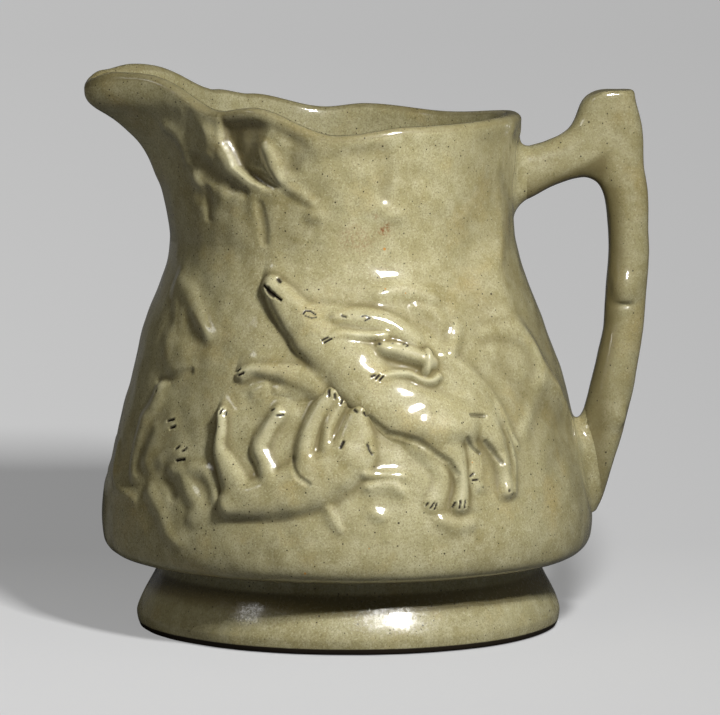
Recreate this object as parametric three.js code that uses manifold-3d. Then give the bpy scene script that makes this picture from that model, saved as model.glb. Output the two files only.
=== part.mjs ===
// A moulded stoneware hunting jug.
// Two pressed wall halves stand on a foot ring and are luted together with slip. A handle shaped like a
// sawn branch is luted to the back, and relief figures of a hunt are laid on both sides.
// Millimetres, +Z up. The origin is on the table, on the axis of the belly.
// The spout points to -X and the handle to +X. The left half lies on the -Y side.

import * as THREE from 'three';
import { mergeVertices } from 'three/addons/utils/BufferGeometryUtils.js';
import Module from 'manifold-3d';

const wasm = await Module();
wasm.setup();

// Joints between the pieces
const SLIP_GAP = 0.3;

// Foot and floor
const FOOT_HEIGHT = 20;
const FOOT_RADIUS = 84.8;
const FOOT_EDGE_HEIGHT = 5.5;
const FOOT_EDGE_INSET = 4;
const GROOVE_DEPTH = 8.3;
const FOOT_COLLAR_WIDTH = 6;
const FLOOR_THICKNESS = 9;
const FLOOR_COIL = 6;

// Wall, from the groove over the foot up to the neck
const WALL = 5.5;
const BELLY_RADIUS = 97.3;
const BELLY_RISE = 22;
const UNDER_BELLY_REACH = 18.9;
const UNDER_BELLY_RISE = 7;
const BELLY_ROUNDING = 4;
const BELLY_PULL = 32;
const NECK_RADIUS = 68.3;
const NECK_RISE = 116;
const NECK_PULL = 16;
const NECK_LEAN = 3;

// Rim and spout
const RIM_RISE = 46;
const RIM_FLARE = 3.2;
const RIM_FLARE_POWER = 1.8;
const SPOUT_REACH = 34.5;
const SPOUT_POWER = 2.6;
const SPOUT_SPREAD = 14;
const SPOUT_ROUNDING = 8;
// Turning points of the wavy rim: degrees from the spout, and lift over its plain height
const LEFT_RIM = [[0, 13.5], [14, 22.5], [43, 7.5], [57, 9.5], [86, -0.3], [160, 2.5], [180, 2]];
const RIGHT_RIM = [[0, 13.5], [15, 20.5], [50, 7.4], [60, 6], [78, 1], [98, 0.5], [132, -1.7], [180, 2]];

// Clay rolls behind the wall seams
const COIL_HALF_WIDTH = 5;
const COIL_EDGE = 0.8;
const COIL_THICKNESS = 2.5;

// Handle. The grip line stands out past the belly.
const GRIP_STANDOFF = 14.7;
const GRIP_DEPTH = 8;
// Upper stations of the stem: inset from the grip line, rise over the neck and half width
const STEM = [[6.2, 55.6, 9], [3.4, 44, 9], [1, 22, 8.4], [0, -7, 7.5]];
// Lower stations of the stem: distance from the wall, rise over the belly and half width
const STEM_FOOT = [[27.6, 71, 8], [10.8, 40, 9]];
const STEM_ROOT_RISE = 10;
const STEM_ROOT_DEPTH = 5;
const STEM_ROOT_HALF_WIDTH = 9;
// Stations of the arm at the wall: distance from the neck, rise over the neck and half width
const ARM = [[-8, 16, 11.5], [4, 22, 10.6], [14, 27, 10]];
// Stations of the arm at the stem: inset from the grip line, rise over the neck and half width
const ARM_END = [[17.7, 33, 9.8], [6.7, 40, 9]];
const KNOT_RADIUS = 4.5;
const KNOT_RISES = [-20, -77];
const KNOT_STANDING = 0.72;

// Clay collars worked round the roots of the handle. The upper one rises from the neck and the lower one
// from the belly.
const UPPER_COLLAR = { rise: 19, lean: -12, thickness: 6, halfWidth: 14, halfHeight: 20 };
const LOWER_COLLAR = { rise: 22, lean: 12, thickness: 6, halfWidth: 14, halfHeight: 30 };

// Millimetres in one unit of the relief drawings
const RELIEF_UNIT = 1;

// Numbers of facets
const LATHE_SEGMENTS = 40;
const HALF_SEGMENTS = 28;
const SEGMENT_CROWDING = 1.3;
const UNDER_BELLY_ROWS = 4;
const BODY_ROWS = 7;
const NECK_ROWS = 7;
const COIL_ROWS = 9;
const COIL_COLUMNS = 4;
const HANDLE_SIDES = 12;
const STEM_ROWS = 18;
const ARM_ROWS = 7;
const COLLAR_SIDES = 20;
const STROKE_SIDES = 6;
const ROWS_PER_STROKE_POINT = 2;
const FOOT_FLANK_ROWS = 7;
const EDGE_ROWS = 4;
const STEM_SAMPLES = 200;
const HALVINGS = 30;
const NORMAL_REACH = 0.5;

// Heights and radii that follow from the driving dimensions
const BELLY_HEIGHT = FOOT_HEIGHT + BELLY_RISE;
const NECK_HEIGHT = BELLY_HEIGHT + NECK_RISE;
const GROOVE_RADIUS = FOOT_RADIUS - GROOVE_DEPTH;
const FOOT_BORE = GROOVE_RADIUS - FOOT_COLLAR_WIDTH;
const GRIP_X = BELLY_RADIUS + GRIP_STANDOFF;
const SIDE_MIDDLE = 90;
const LEFT = -1;
const RIGHT = 1;

// Small helpers

function smoothStep(from, to, value) {
  return THREE.MathUtils.smoothstep(value, from, to);
}

// Smooth run through a list of turning points
function easeThrough(points, value) {
  let height = points[0][1];
  for (let i = 1; i < points.length; i++) {
    const [from, low] = points[i - 1];
    const [to, high] = points[i];
    height += (high - low) * smoothStep(from, to, value);
  }
  return height;
}

function flat(x, y) {
  return new THREE.Vector2(x, y);
}

function toRadians(degrees) {
  return THREE.MathUtils.degToRad(degrees);
}

function signedVolume(points, triangles) {
  const across = new THREE.Vector3();
  let volume = 0;
  for (let i = 0; i < triangles.length; i += 3) {
    const [a, b, c] = [points[triangles[i]], points[triangles[i + 1]], points[triangles[i + 2]]];
    volume += a.dot(across.crossVectors(b, c));
  }
  return volume;
}

// Indexed geometry with its faces pointing out
function closedGeometry(points, triangles) {
  if (signedVolume(points, triangles) < 0) {
    triangles.reverse();
  }
  const geometry = new THREE.BufferGeometry().setFromPoints(points);
  geometry.setIndex(triangles);
  return geometry;
}

// Keeps only the positions of a closed three.js geometry, with shared corners merged
function weld(geometry) {
  geometry.deleteAttribute('normal');
  geometry.deleteAttribute('uv');
  const merged = mergeVertices(geometry);
  const position = merged.getAttribute('position');
  const points = [];
  for (let i = 0; i < position.count; i++) {
    points.push(new THREE.Vector3().fromBufferAttribute(position, i));
  }
  const corners = Array.from(merged.getIndex().array);
  const triangles = [];
  for (let i = 0; i < corners.length; i += 3) {
    const [a, b, c] = corners.slice(i, i + 3);
    if (a !== b && b !== c && c !== a) {
      triangles.push(a, b, c);
    }
  }
  return closedGeometry(points, triangles);
}

function solidOf(geometry) {
  return new wasm.Manifold(new wasm.Mesh({
    numProp: 3,
    vertProperties: new Float32Array(geometry.getAttribute('position').array),
    triVerts: new Uint32Array(geometry.getIndex().array),
  }));
}

function geometryOf(solid) {
  const mesh = solid.getMesh();
  const geometry = new THREE.BufferGeometry();
  geometry.setAttribute('position', new THREE.BufferAttribute(mesh.vertProperties, mesh.numProp));
  geometry.setIndex(new THREE.BufferAttribute(mesh.triVerts, 1));
  return geometry;
}

// Turned solid from a profile of radius and height
function turned(profile) {
  const lathe = new THREE.LatheGeometry(profile, LATHE_SEGMENTS);
  lathe.rotateX(Math.PI / 2);
  return weld(lathe);
}

// Closed solid between a front and a back grid of points
function slabBetween(front, back) {
  const rows = front.length;
  const columns = front[0].length;
  const points = [...front.flat(), ...back.flat()];
  const behind = rows * columns;
  const triangles = [];
  const quad = (a, b, c, d) => triangles.push(a, b, c, a, c, d);
  const at = (row, column) => row * columns + column;
  for (let i = 0; i < rows - 1; i++) {
    for (let j = 0; j < columns - 1; j++) {
      const [a, b, c, d] = [at(i, j), at(i, j + 1), at(i + 1, j + 1), at(i + 1, j)];
      quad(a, b, c, d);
      quad(behind + d, behind + c, behind + b, behind + a);
    }
  }
  const edge = (a, b) => quad(b, a, behind + a, behind + b);
  for (let j = 0; j < columns - 1; j++) {
    edge(at(0, j), at(0, j + 1));
    edge(at(rows - 1, j + 1), at(rows - 1, j));
  }
  for (let i = 0; i < rows - 1; i++) {
    edge(at(i + 1, 0), at(i, 0));
    edge(at(i, columns - 1), at(i + 1, columns - 1));
  }
  return closedGeometry(points, triangles);
}

// Closed solid through a row of rings, with a point at the middle of each end
function skinOver(rings) {
  const sides = rings[0].length;
  const points = rings.flat();
  const triangles = [];
  for (let i = 0; i < rings.length - 1; i++) {
    for (let j = 0; j < sides; j++) {
      const next = (j + 1) % sides;
      const [a, b] = [i * sides + j, i * sides + next];
      triangles.push(a, b, b + sides, a, b + sides, a + sides);
    }
  }
  const middleOf = (ring) => ring.reduce((sum, p) => sum.add(p), new THREE.Vector3()).divideScalar(sides);
  const start = points.push(middleOf(rings[0])) - 1;
  const end = points.push(middleOf(rings[rings.length - 1])) - 1;
  const last = (rings.length - 1) * sides;
  for (let j = 0; j < sides; j++) {
    const next = (j + 1) % sides;
    triangles.push(start, next, j, end, last + j, last + next);
  }
  return closedGeometry(points, triangles);
}

// Shape of the wall

const underBelly = new THREE.CubicBezierCurve(
  flat(GROOVE_RADIUS, FOOT_HEIGHT),
  flat(GROOVE_RADIUS + UNDER_BELLY_REACH, FOOT_HEIGHT + UNDER_BELLY_RISE),
  flat(BELLY_RADIUS, BELLY_HEIGHT - BELLY_ROUNDING),
  flat(BELLY_RADIUS, BELLY_HEIGHT),
);
const upperBody = new THREE.CubicBezierCurve(
  flat(BELLY_RADIUS, BELLY_HEIGHT),
  flat(BELLY_RADIUS, BELLY_HEIGHT + BELLY_PULL),
  flat(NECK_RADIUS, NECK_HEIGHT - NECK_PULL),
  flat(NECK_RADIUS, NECK_HEIGHT),
);

// Radius of the plain body at a height, found on its profile curve by halving
function bodyRadius(height) {
  const curve = height < BELLY_HEIGHT ? underBelly : upperBody;
  let [low, high] = [0, 1];
  for (let i = 0; i < HALVINGS; i++) {
    const middle = (low + high) / 2;
    if (curve.getPoint(middle).y < height) {
      low = middle;
    } else {
      high = middle;
    }
  }
  return curve.getPoint(low).x;
}

function rimHeight(bearing, side) {
  const lift = easeThrough(side === LEFT ? LEFT_RIM : RIGHT_RIM, bearing);
  return NECK_HEIGHT + RIM_RISE + lift;
}

// How much of the spout a bearing carries: 1 at its tip, fading to the sides
function spoutShare(bearing) {
  return Math.exp((SPOUT_ROUNDING - Math.hypot(bearing, SPOUT_ROUNDING)) / SPOUT_SPREAD);
}

// Point on the wall. The bearing runs from 0 at the spout to 180 at the handle.
function wallPoint(bearing, height, side, outwards = 0) {
  const climb = Math.max(0, (height - NECK_HEIGHT) / (rimHeight(bearing, side) - NECK_HEIGHT));
  const share = spoutShare(bearing);
  const flare = RIM_FLARE * climb ** RIM_FLARE_POWER * (1 - share);
  const spout = SPOUT_REACH * climb ** SPOUT_POWER * share;
  const radius = bodyRadius(Math.min(height, NECK_HEIGHT)) + flare + spout + outwards;
  const lean = NECK_LEAN * smoothStep(BELLY_HEIGHT, NECK_HEIGHT, height);
  const angle = toRadians(bearing);
  return new THREE.Vector3(-radius * Math.cos(angle) - lean, side * radius * Math.sin(angle), height);
}

// Direction that faces out of the wall
function wallNormal(bearing, height, side) {
  const reach = NORMAL_REACH;
  const along = wallPoint(bearing + reach, height, side).sub(wallPoint(bearing - reach, height, side));
  const up = wallPoint(bearing, height + reach, side).sub(wallPoint(bearing, height - reach, side));
  return along.cross(up).multiplyScalar(side === LEFT ? 1 : -1).normalize();
}

// Bearings of the wall columns, crowded together at the spout
function columnBearings() {
  const bearings = [];
  for (let i = 0; i <= HALF_SEGMENTS; i++) {
    bearings.push(180 * (i / HALF_SEGMENTS) ** SEGMENT_CROWDING);
  }
  return bearings;
}

// Heights of the wall rows at one bearing, from the foot to the rim
function rowHeights(bearing, side, bottom) {
  const rows = [bottom];
  rows.push(...underBelly.getPoints(UNDER_BELLY_ROWS).slice(1).map((point) => point.y));
  rows.push(...upperBody.getPoints(BODY_ROWS).slice(1).map((point) => point.y));
  const climb = rimHeight(bearing, side) - NECK_HEIGHT;
  for (let i = 1; i <= NECK_ROWS; i++) {
    rows.push(NECK_HEIGHT + climb * i / NECK_ROWS);
  }
  return rows;
}

// Grid of points over one half of the wall, moved in or out level with the table
function halfGrid(side, outwards, bottom, seamGap) {
  const bearings = columnBearings();
  const columns = bearings.map((bearing) => rowHeights(bearing, side, bottom).map((height) => {
    const point = wallPoint(bearing, height, side);
    const facing = wallNormal(bearing, height, side).setZ(0).normalize();
    point.addScaledVector(facing, outwards);
    point.y = side * Math.max(side * point.y, seamGap / 2);
    return point;
  }));
  return columns[0].map((_, row) => columns.map((column) => column[row]));
}

// Everything within the outer wall, moved in or out: what is luted to the wall is cut by it
function wallCore(outwards) {
  const left = halfGrid(LEFT, outwards, FOOT_HEIGHT, 0);
  const right = halfGrid(RIGHT, outwards, FOOT_HEIGHT, 0);
  const rings = left.map((row, i) => [...row, ...right[i].slice(1, -1).reverse()]);
  return solidOf(skinOver(rings));
}

// Pieces of the body

function bodyHalf(side) {
  const bottom = FOOT_HEIGHT + SLIP_GAP;
  return slabBetween(halfGrid(side, 0, bottom, SLIP_GAP), halfGrid(side, -WALL, bottom, SLIP_GAP));
}

function footRing() {
  const flank = new THREE.CubicBezierCurve(
    flat(GROOVE_RADIUS, FOOT_HEIGHT),
    flat(GROOVE_RADIUS, (FOOT_HEIGHT + FOOT_EDGE_HEIGHT) / 2),
    flat(FOOT_RADIUS, FOOT_HEIGHT - FOOT_EDGE_HEIGHT),
    flat(FOOT_RADIUS, FOOT_EDGE_HEIGHT),
  );
  const edge = new THREE.EllipseCurve(
    FOOT_RADIUS - FOOT_EDGE_INSET, FOOT_EDGE_HEIGHT, FOOT_EDGE_INSET, FOOT_EDGE_HEIGHT, 0, -Math.PI / 2, true,
  );
  const bore = FOOT_BORE;
  return turned([
    flat(bore, 0),
    flat(bore, FOOT_HEIGHT),
    ...flank.getPoints(FOOT_FLANK_ROWS),
    ...edge.getPoints(EDGE_ROWS).slice(1),
    flat(bore, 0),
  ]);
}

function floorDisc() {
  const radius = FOOT_BORE - SLIP_GAP;
  return turned([flat(0, 0), flat(radius, 0), flat(radius, FLOOR_THICKNESS), flat(0, FLOOR_THICKNESS)]);
}

// Roll of clay smoothed into a hollow fillet between the floor and the foot
function floorSeamCoil() {
  const radius = FOOT_BORE - SLIP_GAP;
  const floor = FLOOR_THICKNESS + SLIP_GAP;
  const hollow = new THREE.EllipseCurve(
    radius - FLOOR_COIL, floor + FLOOR_COIL, FLOOR_COIL - COIL_EDGE, FLOOR_COIL - COIL_EDGE, -Math.PI / 2, 0,
  );
  return turned([
    flat(radius, floor + FLOOR_COIL),
    flat(radius, floor),
    flat(radius - FLOOR_COIL, floor),
    ...hollow.getPoints(EDGE_ROWS),
    flat(radius, floor + FLOOR_COIL),
  ]);
}

// Roll of clay pressed along a seam inside the wall, from over the foot up to the neck
function wallSeamCoil(hollow, seamBearing) {
  const heights = upperBody.getPoints(COIL_ROWS - 1).map((point) => point.y);
  const gridAt = (depthAt) => heights.map((height) => {
    const row = [];
    for (let i = 0; i <= COIL_COLUMNS; i++) {
      const across = 2 * i / COIL_COLUMNS - 1;
      const angle = THREE.MathUtils.radToDeg(across * COIL_HALF_WIDTH / bodyRadius(height));
      row.push(wallPoint(seamBearing + angle, height, LEFT, -WALL - depthAt(across)));
    }
    return row;
  });
  const crown = (across) => COIL_EDGE + (COIL_THICKNESS - COIL_EDGE) * (1 - across ** 2);
  const roll = slabBetween(gridAt(() => -COIL_EDGE), gridAt(crown));
  return geometryOf(solidOf(roll).intersect(hollow));
}

// Handle

// Rings along a path in the plane of the handle, with a half width at each station. A sawn start is level.
function branchRings(stations, rows, grow, sawn) {
  const path = new THREE.CatmullRomCurve3(stations.map(([x, z]) => new THREE.Vector3(x, 0, z)));
  const widths = new THREE.SplineCurve(stations.map((station, i) => flat(i, station[2])));
  const rings = [];
  for (let i = 0; i <= rows; i++) {
    const along = i / rows;
    const middle = path.getPoint(along);
    const forward = path.getTangent(along);
    const outward = new THREE.Vector3(forward.z, 0, -forward.x);
    if (sawn && i === 0) {
      outward.set(-1, 0, 0);
    }
    const halfWidth = widths.getPoint(along).y + grow;
    const ring = [];
    for (let j = 0; j < HANDLE_SIDES; j++) {
      const angle = 2 * Math.PI * j / HANDLE_SIDES;
      const point = middle.clone().addScaledVector(outward, halfWidth * Math.cos(angle));
      point.y = (GRIP_DEPTH + grow) * Math.sin(angle);
      ring.push(point);
    }
    rings.push(ring);
  }
  return rings;
}

// Station of the handle that is measured from its grip line
function gripStation([inset, rise, halfWidth]) {
  return [GRIP_X - inset, NECK_HEIGHT + rise, halfWidth];
}

// Station of the handle that is measured from the neck
function neckStation([distance, rise, halfWidth]) {
  return [NECK_RADIUS + distance, NECK_HEIGHT + rise, halfWidth];
}

// Station of the handle that is measured from the wall over the belly
function bellyStation([distance, rise, halfWidth]) {
  const height = BELLY_HEIGHT + rise;
  return [bodyRadius(height) + distance, height, halfWidth];
}

// Stations of the upright stem, down to the end that is buried in the belly
function stemStations() {
  const root = [-STEM_ROOT_DEPTH, STEM_ROOT_RISE, STEM_ROOT_HALF_WIDTH];
  return [...STEM.map(gripStation), ...[...STEM_FOOT, root].map(bellyStation)];
}

function armStations() {
  return [...ARM.map(neckStation), ...ARM_END.map(gripStation)];
}

// Bud that stands out of the stem at a height, on both faces
function knots(grow) {
  const path = new THREE.CatmullRomCurve3(stemStations().map(([x, z]) => new THREE.Vector3(x, 0, z)));
  const samples = path.getPoints(STEM_SAMPLES);
  const buds = [];
  for (const rise of KNOT_RISES) {
    const height = NECK_HEIGHT + rise;
    const gapTo = (point) => Math.abs(point.z - height);
    const middle = samples.reduce((best, point) => (gapTo(point) < gapTo(best) ? point : best));
    const bud = new THREE.SphereGeometry(KNOT_RADIUS + grow, HANDLE_SIDES, HANDLE_SIDES / 2);
    bud.translate(middle.x, -KNOT_STANDING * GRIP_DEPTH, height);
    buds.push(solidOf(weld(bud)));
  }
  return buds;
}

// The whole branch, grown by a gap where it is used to cut its collars
function branchSolid(grow) {
  const stem = solidOf(skinOver(branchRings(stemStations(), STEM_ROWS, grow, true)));
  const arm = solidOf(skinOver(branchRings(armStations(), ARM_ROWS, grow, false)));
  return knots(grow).reduce((whole, bud) => whole.add(bud), stem.add(arm));
}

function handleBranch(core) {
  return geometryOf(branchSolid(0).subtract(core));
}

// Clay worked round a root of the handle, tapering out on the wall
function lutingCollar(core, datum, sizes) {
  const height = datum + sizes.rise;
  const middle = wallPoint(180, height, LEFT);
  const lump = new THREE.SphereGeometry(1, COLLAR_SIDES, COLLAR_SIDES / 2);
  lump.scale(sizes.thickness, sizes.halfWidth, sizes.halfHeight);
  lump.rotateY(toRadians(-sizes.lean));
  lump.translate(middle.x, 0, height);
  return geometryOf(solidOf(weld(lump)).subtract(core).subtract(branchSolid(SLIP_GAP)));
}

// Relief figures. A stroke is a rounded, tapering limb laid on the wall. Its points are the bearing from
// the middle of the side, towards the handle, the rise and the half width. The oak branch rises from the
// neck and the other figures from the belly. Strokes of a figure stand out by their own amount.

const QUARRY = [
  { name: 'head', out: 4.2, points: [[-28, 100.5, 3.6], [-23.5, 95.5, 5.6], [-17, 87.5, 7.4]] },
  { name: 'trunk', out: 5, points: [[-17, 86.5, 7.6], [-2.5, 71.5, 11.6], [12.5, 58.5, 14.4],
    [27.5, 54, 11.2]] },
  { name: 'foreleg', out: 3.4, points: [[-10, 65, 5.6], [-23, 69, 3.4], [-34, 67, 3]] },
  { name: 'first hind leg', out: 3.4, points: [[8.5, 46.5, 4.8], [15, 32.5, 3], [15, 18.5, 3.2]] },
  { name: 'second hind leg', out: 4, points: [[18, 43, 6.4], [21.5, 28, 3.4], [21.5, 17, 3.5]] },
  { name: 'third hind leg', out: 3.4, points: [[27.5, 50.5, 4], [28.5, 35.5, 3.6], [27.5, 23.5, 3.4]] },
  { name: 'fourth hind leg', out: 3.8, points: [[34.5, 53.5, 6.4], [37, 32, 3.6], [35.5, 20, 3.8]] },
  { name: 'hound head over the neck', out: 6, points: [[-6, 89, 3.4], [6.5, 88, 5.3], [17.5, 78.5, 4]] },
  { name: 'hound head on the flank', out: 7, points: [[4, 78, 3.4], [15, 76, 4.6], [20.5, 73, 4.8]] },
];

const FALLEN_HOUND = [
  { name: 'trunk', out: 4.4, points: [[-34, 20, 6], [-22.5, 21, 8.4], [-11.5, 31.5, 9.2]] },
  { name: 'first hind leg', out: 3.8, points: [[-35, 24.5, 6], [-36.5, 40.5, 3.4], [-38, 52, 3]] },
  { name: 'second hind leg', out: 3.6, points: [[-24, 26.5, 4.8], [-26, 40.5, 3.5], [-23, 52.5, 3.4]] },
  { name: 'first foreleg', out: 4.2, points: [[-14, 39, 4.4], [-15, 46.5, 3.6], [-10, 57, 3.3]] },
  { name: 'head', out: 4.4, points: [[-10, 36, 7.6], [-3, 43, 6], [-1, 47, 3.2]] },
];

const CROUCHING_HOUND = [
  { name: 'long limb', out: 3, points: [[-63, 58, 3.2], [-69.5, 39.5, 3.2], [-67.5, 23.5, 3]] },
  { name: 'paw', out: 3, points: [[-56, 46, 3.4], [-63, 33.5, 3.4], [-64.5, 25.5, 4]] },
  { name: 'low paw', out: 3, points: [[-50.5, 35.5, 3.7], [-60, 27, 4]] },
  { name: 'trunk', out: 3.2, points: [[-64, 24, 5.6], [-56, 20, 8], [-49, 15, 8], [-43, 14.5, 5]] },
  { name: 'tail end', out: 2.6, points: [[-61, 17.5, 4.8], [-55, 9, 4.4], [-50, 2, 4]] },
];

const STUMP = [
  { name: 'ridge', out: 2.6, points: [[-67, 101, 4], [-56, 90.5, 3.7], [-47, 81, 2.2]] },
  { name: 'swelling', out: 2.4, points: [[-65, 98, 3.6], [-65, 84, 4.4], [-61, 74, 7.6], [-56, 70.5, 4.8]] },
];

const OAK_BRANCH = [
  { name: 'bough', out: 2.6, points: [[-51, 48, 3.2], [-48.5, 37, 4], [-38, 27, 3.2], [-32, 23.5, 2.2]] },
  { name: 'leaf', out: 2.4, points: [[-29.5, 38, 3.2], [-27.5, 33.5, 4.2], [-25.5, 28, 3.2]] },
  { name: 'leaf stalk', out: 2.2, points: [[-34, 24.5, 2.6], [-28, 25.5, 2.6], [-26, 29, 2.8]] },
];

const THICKET = [
  { name: 'clump', out: 2.6, points: [[45, 80.5, 6], [50, 73, 8], [54, 65, 6]] },
  { name: 'stem', out: 2, points: [[54, 63, 4.4], [53, 52, 3.6], [46, 43, 3]] },
];

// How far the rounded tips of a stroke reach, in half widths, and how much of its section is left there
const TIP_REACH = 0.85;
const TIP_SHARE = 0.5;

// Rings of one stroke, rounded off at both ends
function strokeRings(points, out, datum, side) {
  const onWall = ([bearing, rise]) => flat(bearing + SIDE_MIDDLE, datum + rise * RELIEF_UNIT);
  const path = new THREE.SplineCurve(points.map(onWall));
  const widths = new THREE.SplineCurve(points.map((point, i) => flat(i, point[2])));
  const rows = ROWS_PER_STROKE_POINT * points.length;
  const rings = [];
  const addRing = (along, shift, share) => {
    const middle = path.getPoint(along);
    const perDegree = toRadians(1) * bodyRadius(Math.min(middle.y, NECK_HEIGHT));
    const ahead = path.getTangent(along);
    const forward = flat(ahead.x * perDegree, ahead.y).normalize();
    const halfWidth = widths.getPoint(along).y * RELIEF_UNIT;
    const ring = [];
    for (let j = 0; j < STROKE_SIDES; j++) {
      const angle = 2 * Math.PI * (j + 0.5) / STROKE_SIDES;
      const across = share * halfWidth * Math.cos(angle);
      const bearing = middle.x + (forward.x * shift * halfWidth - forward.y * across) / perDegree;
      const height = middle.y + forward.y * shift * halfWidth + forward.x * across;
      const standing = share * out * RELIEF_UNIT * Math.sin(angle);
      const point = wallPoint(bearing, height, side);
      ring.push(point.addScaledVector(wallNormal(bearing, height, side), standing));
    }
    rings.push(ring);
  };
  addRing(0, -TIP_REACH, TIP_SHARE);
  for (let i = 0; i <= rows; i++) {
    addRing(i / rows, 0, 1);
  }
  addRing(1, TIP_REACH, TIP_SHARE);
  return rings;
}

// One figure: its strokes joined, and hollowed at the back to lie on the wall
function sprig(strokes, datum, side, core) {
  const limbs = strokes.map(({ out, points }) => solidOf(skinOver(strokeRings(points, out, datum, side))));
  const figure = limbs.reduce((whole, limb) => whole.add(limb));
  return geometryOf(figure.subtract(core));
}

// Assembly

const GLAZE = 0x9a9371;
const RAISED_GLAZE = 0xa69f7a;
const BARE_CLAY = 0xb9ad92;

function glazed(color) {
  return new THREE.MeshStandardMaterial({ color, roughness: 0.22, metalness: 0 });
}

function unglazed() {
  return new THREE.MeshStandardMaterial({ color: BARE_CLAY, roughness: 0.85, metalness: 0 });
}

const jug = new THREE.Group();

function addPiece(name, geometry, material) {
  geometry.computeVertexNormals();
  const piece = new THREE.Mesh(geometry, material);
  piece.name = name;
  jug.add(piece);
}

const core = wallCore(SLIP_GAP);
const hollow = wallCore(-WALL - SLIP_GAP);

addPiece('foot_ring', footRing(), glazed(GLAZE));
addPiece('floor_disc', floorDisc(), unglazed());
addPiece('floor_seam_coil', floorSeamCoil(), glazed(GLAZE));
addPiece('body_left_half', bodyHalf(LEFT), glazed(GLAZE));
addPiece('body_right_half', bodyHalf(RIGHT), glazed(GLAZE));
addPiece('front_seam_coil', wallSeamCoil(hollow, 0), glazed(GLAZE));
addPiece('back_seam_coil', wallSeamCoil(hollow, 180), glazed(GLAZE));
addPiece('handle_branch', handleBranch(core), glazed(GLAZE));
addPiece('upper_luting_collar', lutingCollar(core, NECK_HEIGHT, UPPER_COLLAR), glazed(GLAZE));
addPiece('lower_luting_collar', lutingCollar(core, BELLY_HEIGHT, LOWER_COLLAR), glazed(GLAZE));

const FIGURES = [
  ['quarry', QUARRY, BELLY_HEIGHT],
  ['fallen_hound', FALLEN_HOUND, BELLY_HEIGHT],
  ['crouching_hound', CROUCHING_HOUND, BELLY_HEIGHT],
  ['stump', STUMP, BELLY_HEIGHT],
  ['oak_branch', OAK_BRANCH, NECK_HEIGHT],
  ['thicket', THICKET, BELLY_HEIGHT],
];
for (const [sideName, side] of [['left', LEFT], ['right', RIGHT]]) {
  for (const [figureName, strokes, datum] of FIGURES) {
    addPiece(`${sideName}_${figureName}_sprig`, sprig(strokes, datum, side, core), glazed(RAISED_GLAZE));
  }
}

export default jug;
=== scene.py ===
"""Studio scene of a moulded stoneware hunting jug.

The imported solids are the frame. A fine piece of the same shape takes the place of each of them, with the
relief, the glaze and the small flaws of a hand-finished pot. Shapes are worked out in millimetres.
"""

import math

import bpy
import numpy as np
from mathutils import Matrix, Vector


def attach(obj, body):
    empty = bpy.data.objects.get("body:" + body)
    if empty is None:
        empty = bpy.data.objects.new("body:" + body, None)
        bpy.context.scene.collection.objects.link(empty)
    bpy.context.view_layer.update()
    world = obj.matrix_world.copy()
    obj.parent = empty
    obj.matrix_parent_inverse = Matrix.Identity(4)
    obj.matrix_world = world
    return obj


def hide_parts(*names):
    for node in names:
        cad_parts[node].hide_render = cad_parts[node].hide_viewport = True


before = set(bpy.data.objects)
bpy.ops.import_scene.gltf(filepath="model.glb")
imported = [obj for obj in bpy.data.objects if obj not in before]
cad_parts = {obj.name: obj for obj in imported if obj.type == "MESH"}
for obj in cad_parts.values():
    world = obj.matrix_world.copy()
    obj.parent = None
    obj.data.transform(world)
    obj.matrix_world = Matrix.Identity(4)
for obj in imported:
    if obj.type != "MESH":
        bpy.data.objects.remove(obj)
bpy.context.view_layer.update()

MM = 0.001
TINY = 1e-9
LEFT = -1
RIGHT = 1
SIDE_MIDDLE = 90

# Foot and floor
FOOT_HEIGHT = 27.7
FOOT_RADIUS = 85.3
FOOT_EDGE_HEIGHT = 5.8
# Height of the painted contact shadow round the bottom edge of the foot
FOOT_CONTACT_SHADE = 2.2
FOOT_EDGE_INSET = 1.8
GROOVE_RADIUS = 76.5
FOOT_BORE = 70.5
FOOT_LAP = 1.5
FOOT_PULL = 7.2
FLOOR_THICKNESS = 9
FLOOR_COIL = 6
SLIP_GAP = 0.3
FOOT_WOBBLE = 0.2
FLOOR_WOBBLE = 0.05
FLOOR_COIL_WOBBLE = 0.3
FLOOR_COIL_EDGE = 0.6
FLOOR_COIL_SINK = 0.4

# Wall
WALL = 5.2
BELLY_RADIUS = 97.3
BELLY_HEIGHT = 42
UNDER_BELLY_REACH = 17.8
UNDER_BELLY_RISE = 0.6
BELLY_ROUNDING = 12
BELLY_PULL = 32
NECK_RADIUS = 68.3
NECK_HEIGHT = 158
NECK_PULL = 16
NECK_LEAN = 3

# Rim and spout
RIM_RISE = 46
RIM_FLARE = 3.7
RIM_FLARE_POWER = 1.8
SPOUT_REACH = 34.2
SPOUT_POWER = 2.5
SPOUT_BLUNT = 0.86
SPOUT_SPREAD = 8.8
SPOUT_ROUNDING = 9
LIP_HEIGHT = 2.4
SPOUT_LIP_HEIGHT = 4.6
LIP_SQUARENESS = 0.9
LIP_ROLL = 0.4
LIP_ROLL_REACH = 5
# Turning points of the wavy rim: degrees from the spout, and lift over its plain height
LEFT_RIM = [
    (0, 16), (8, 20), (12, 20), (42, 6.8), (55, 8.8), (84, -1.6), (108, 1.5), (160, 2.5), (180, 2),
]
RIGHT_RIM = [
    (0, 16), (6, 19.6), (12, 21.2), (48, 8), (62, 5.3), (90, -0.9), (103, 0.5), (132, -1.7), (180, 2),
]

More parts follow.
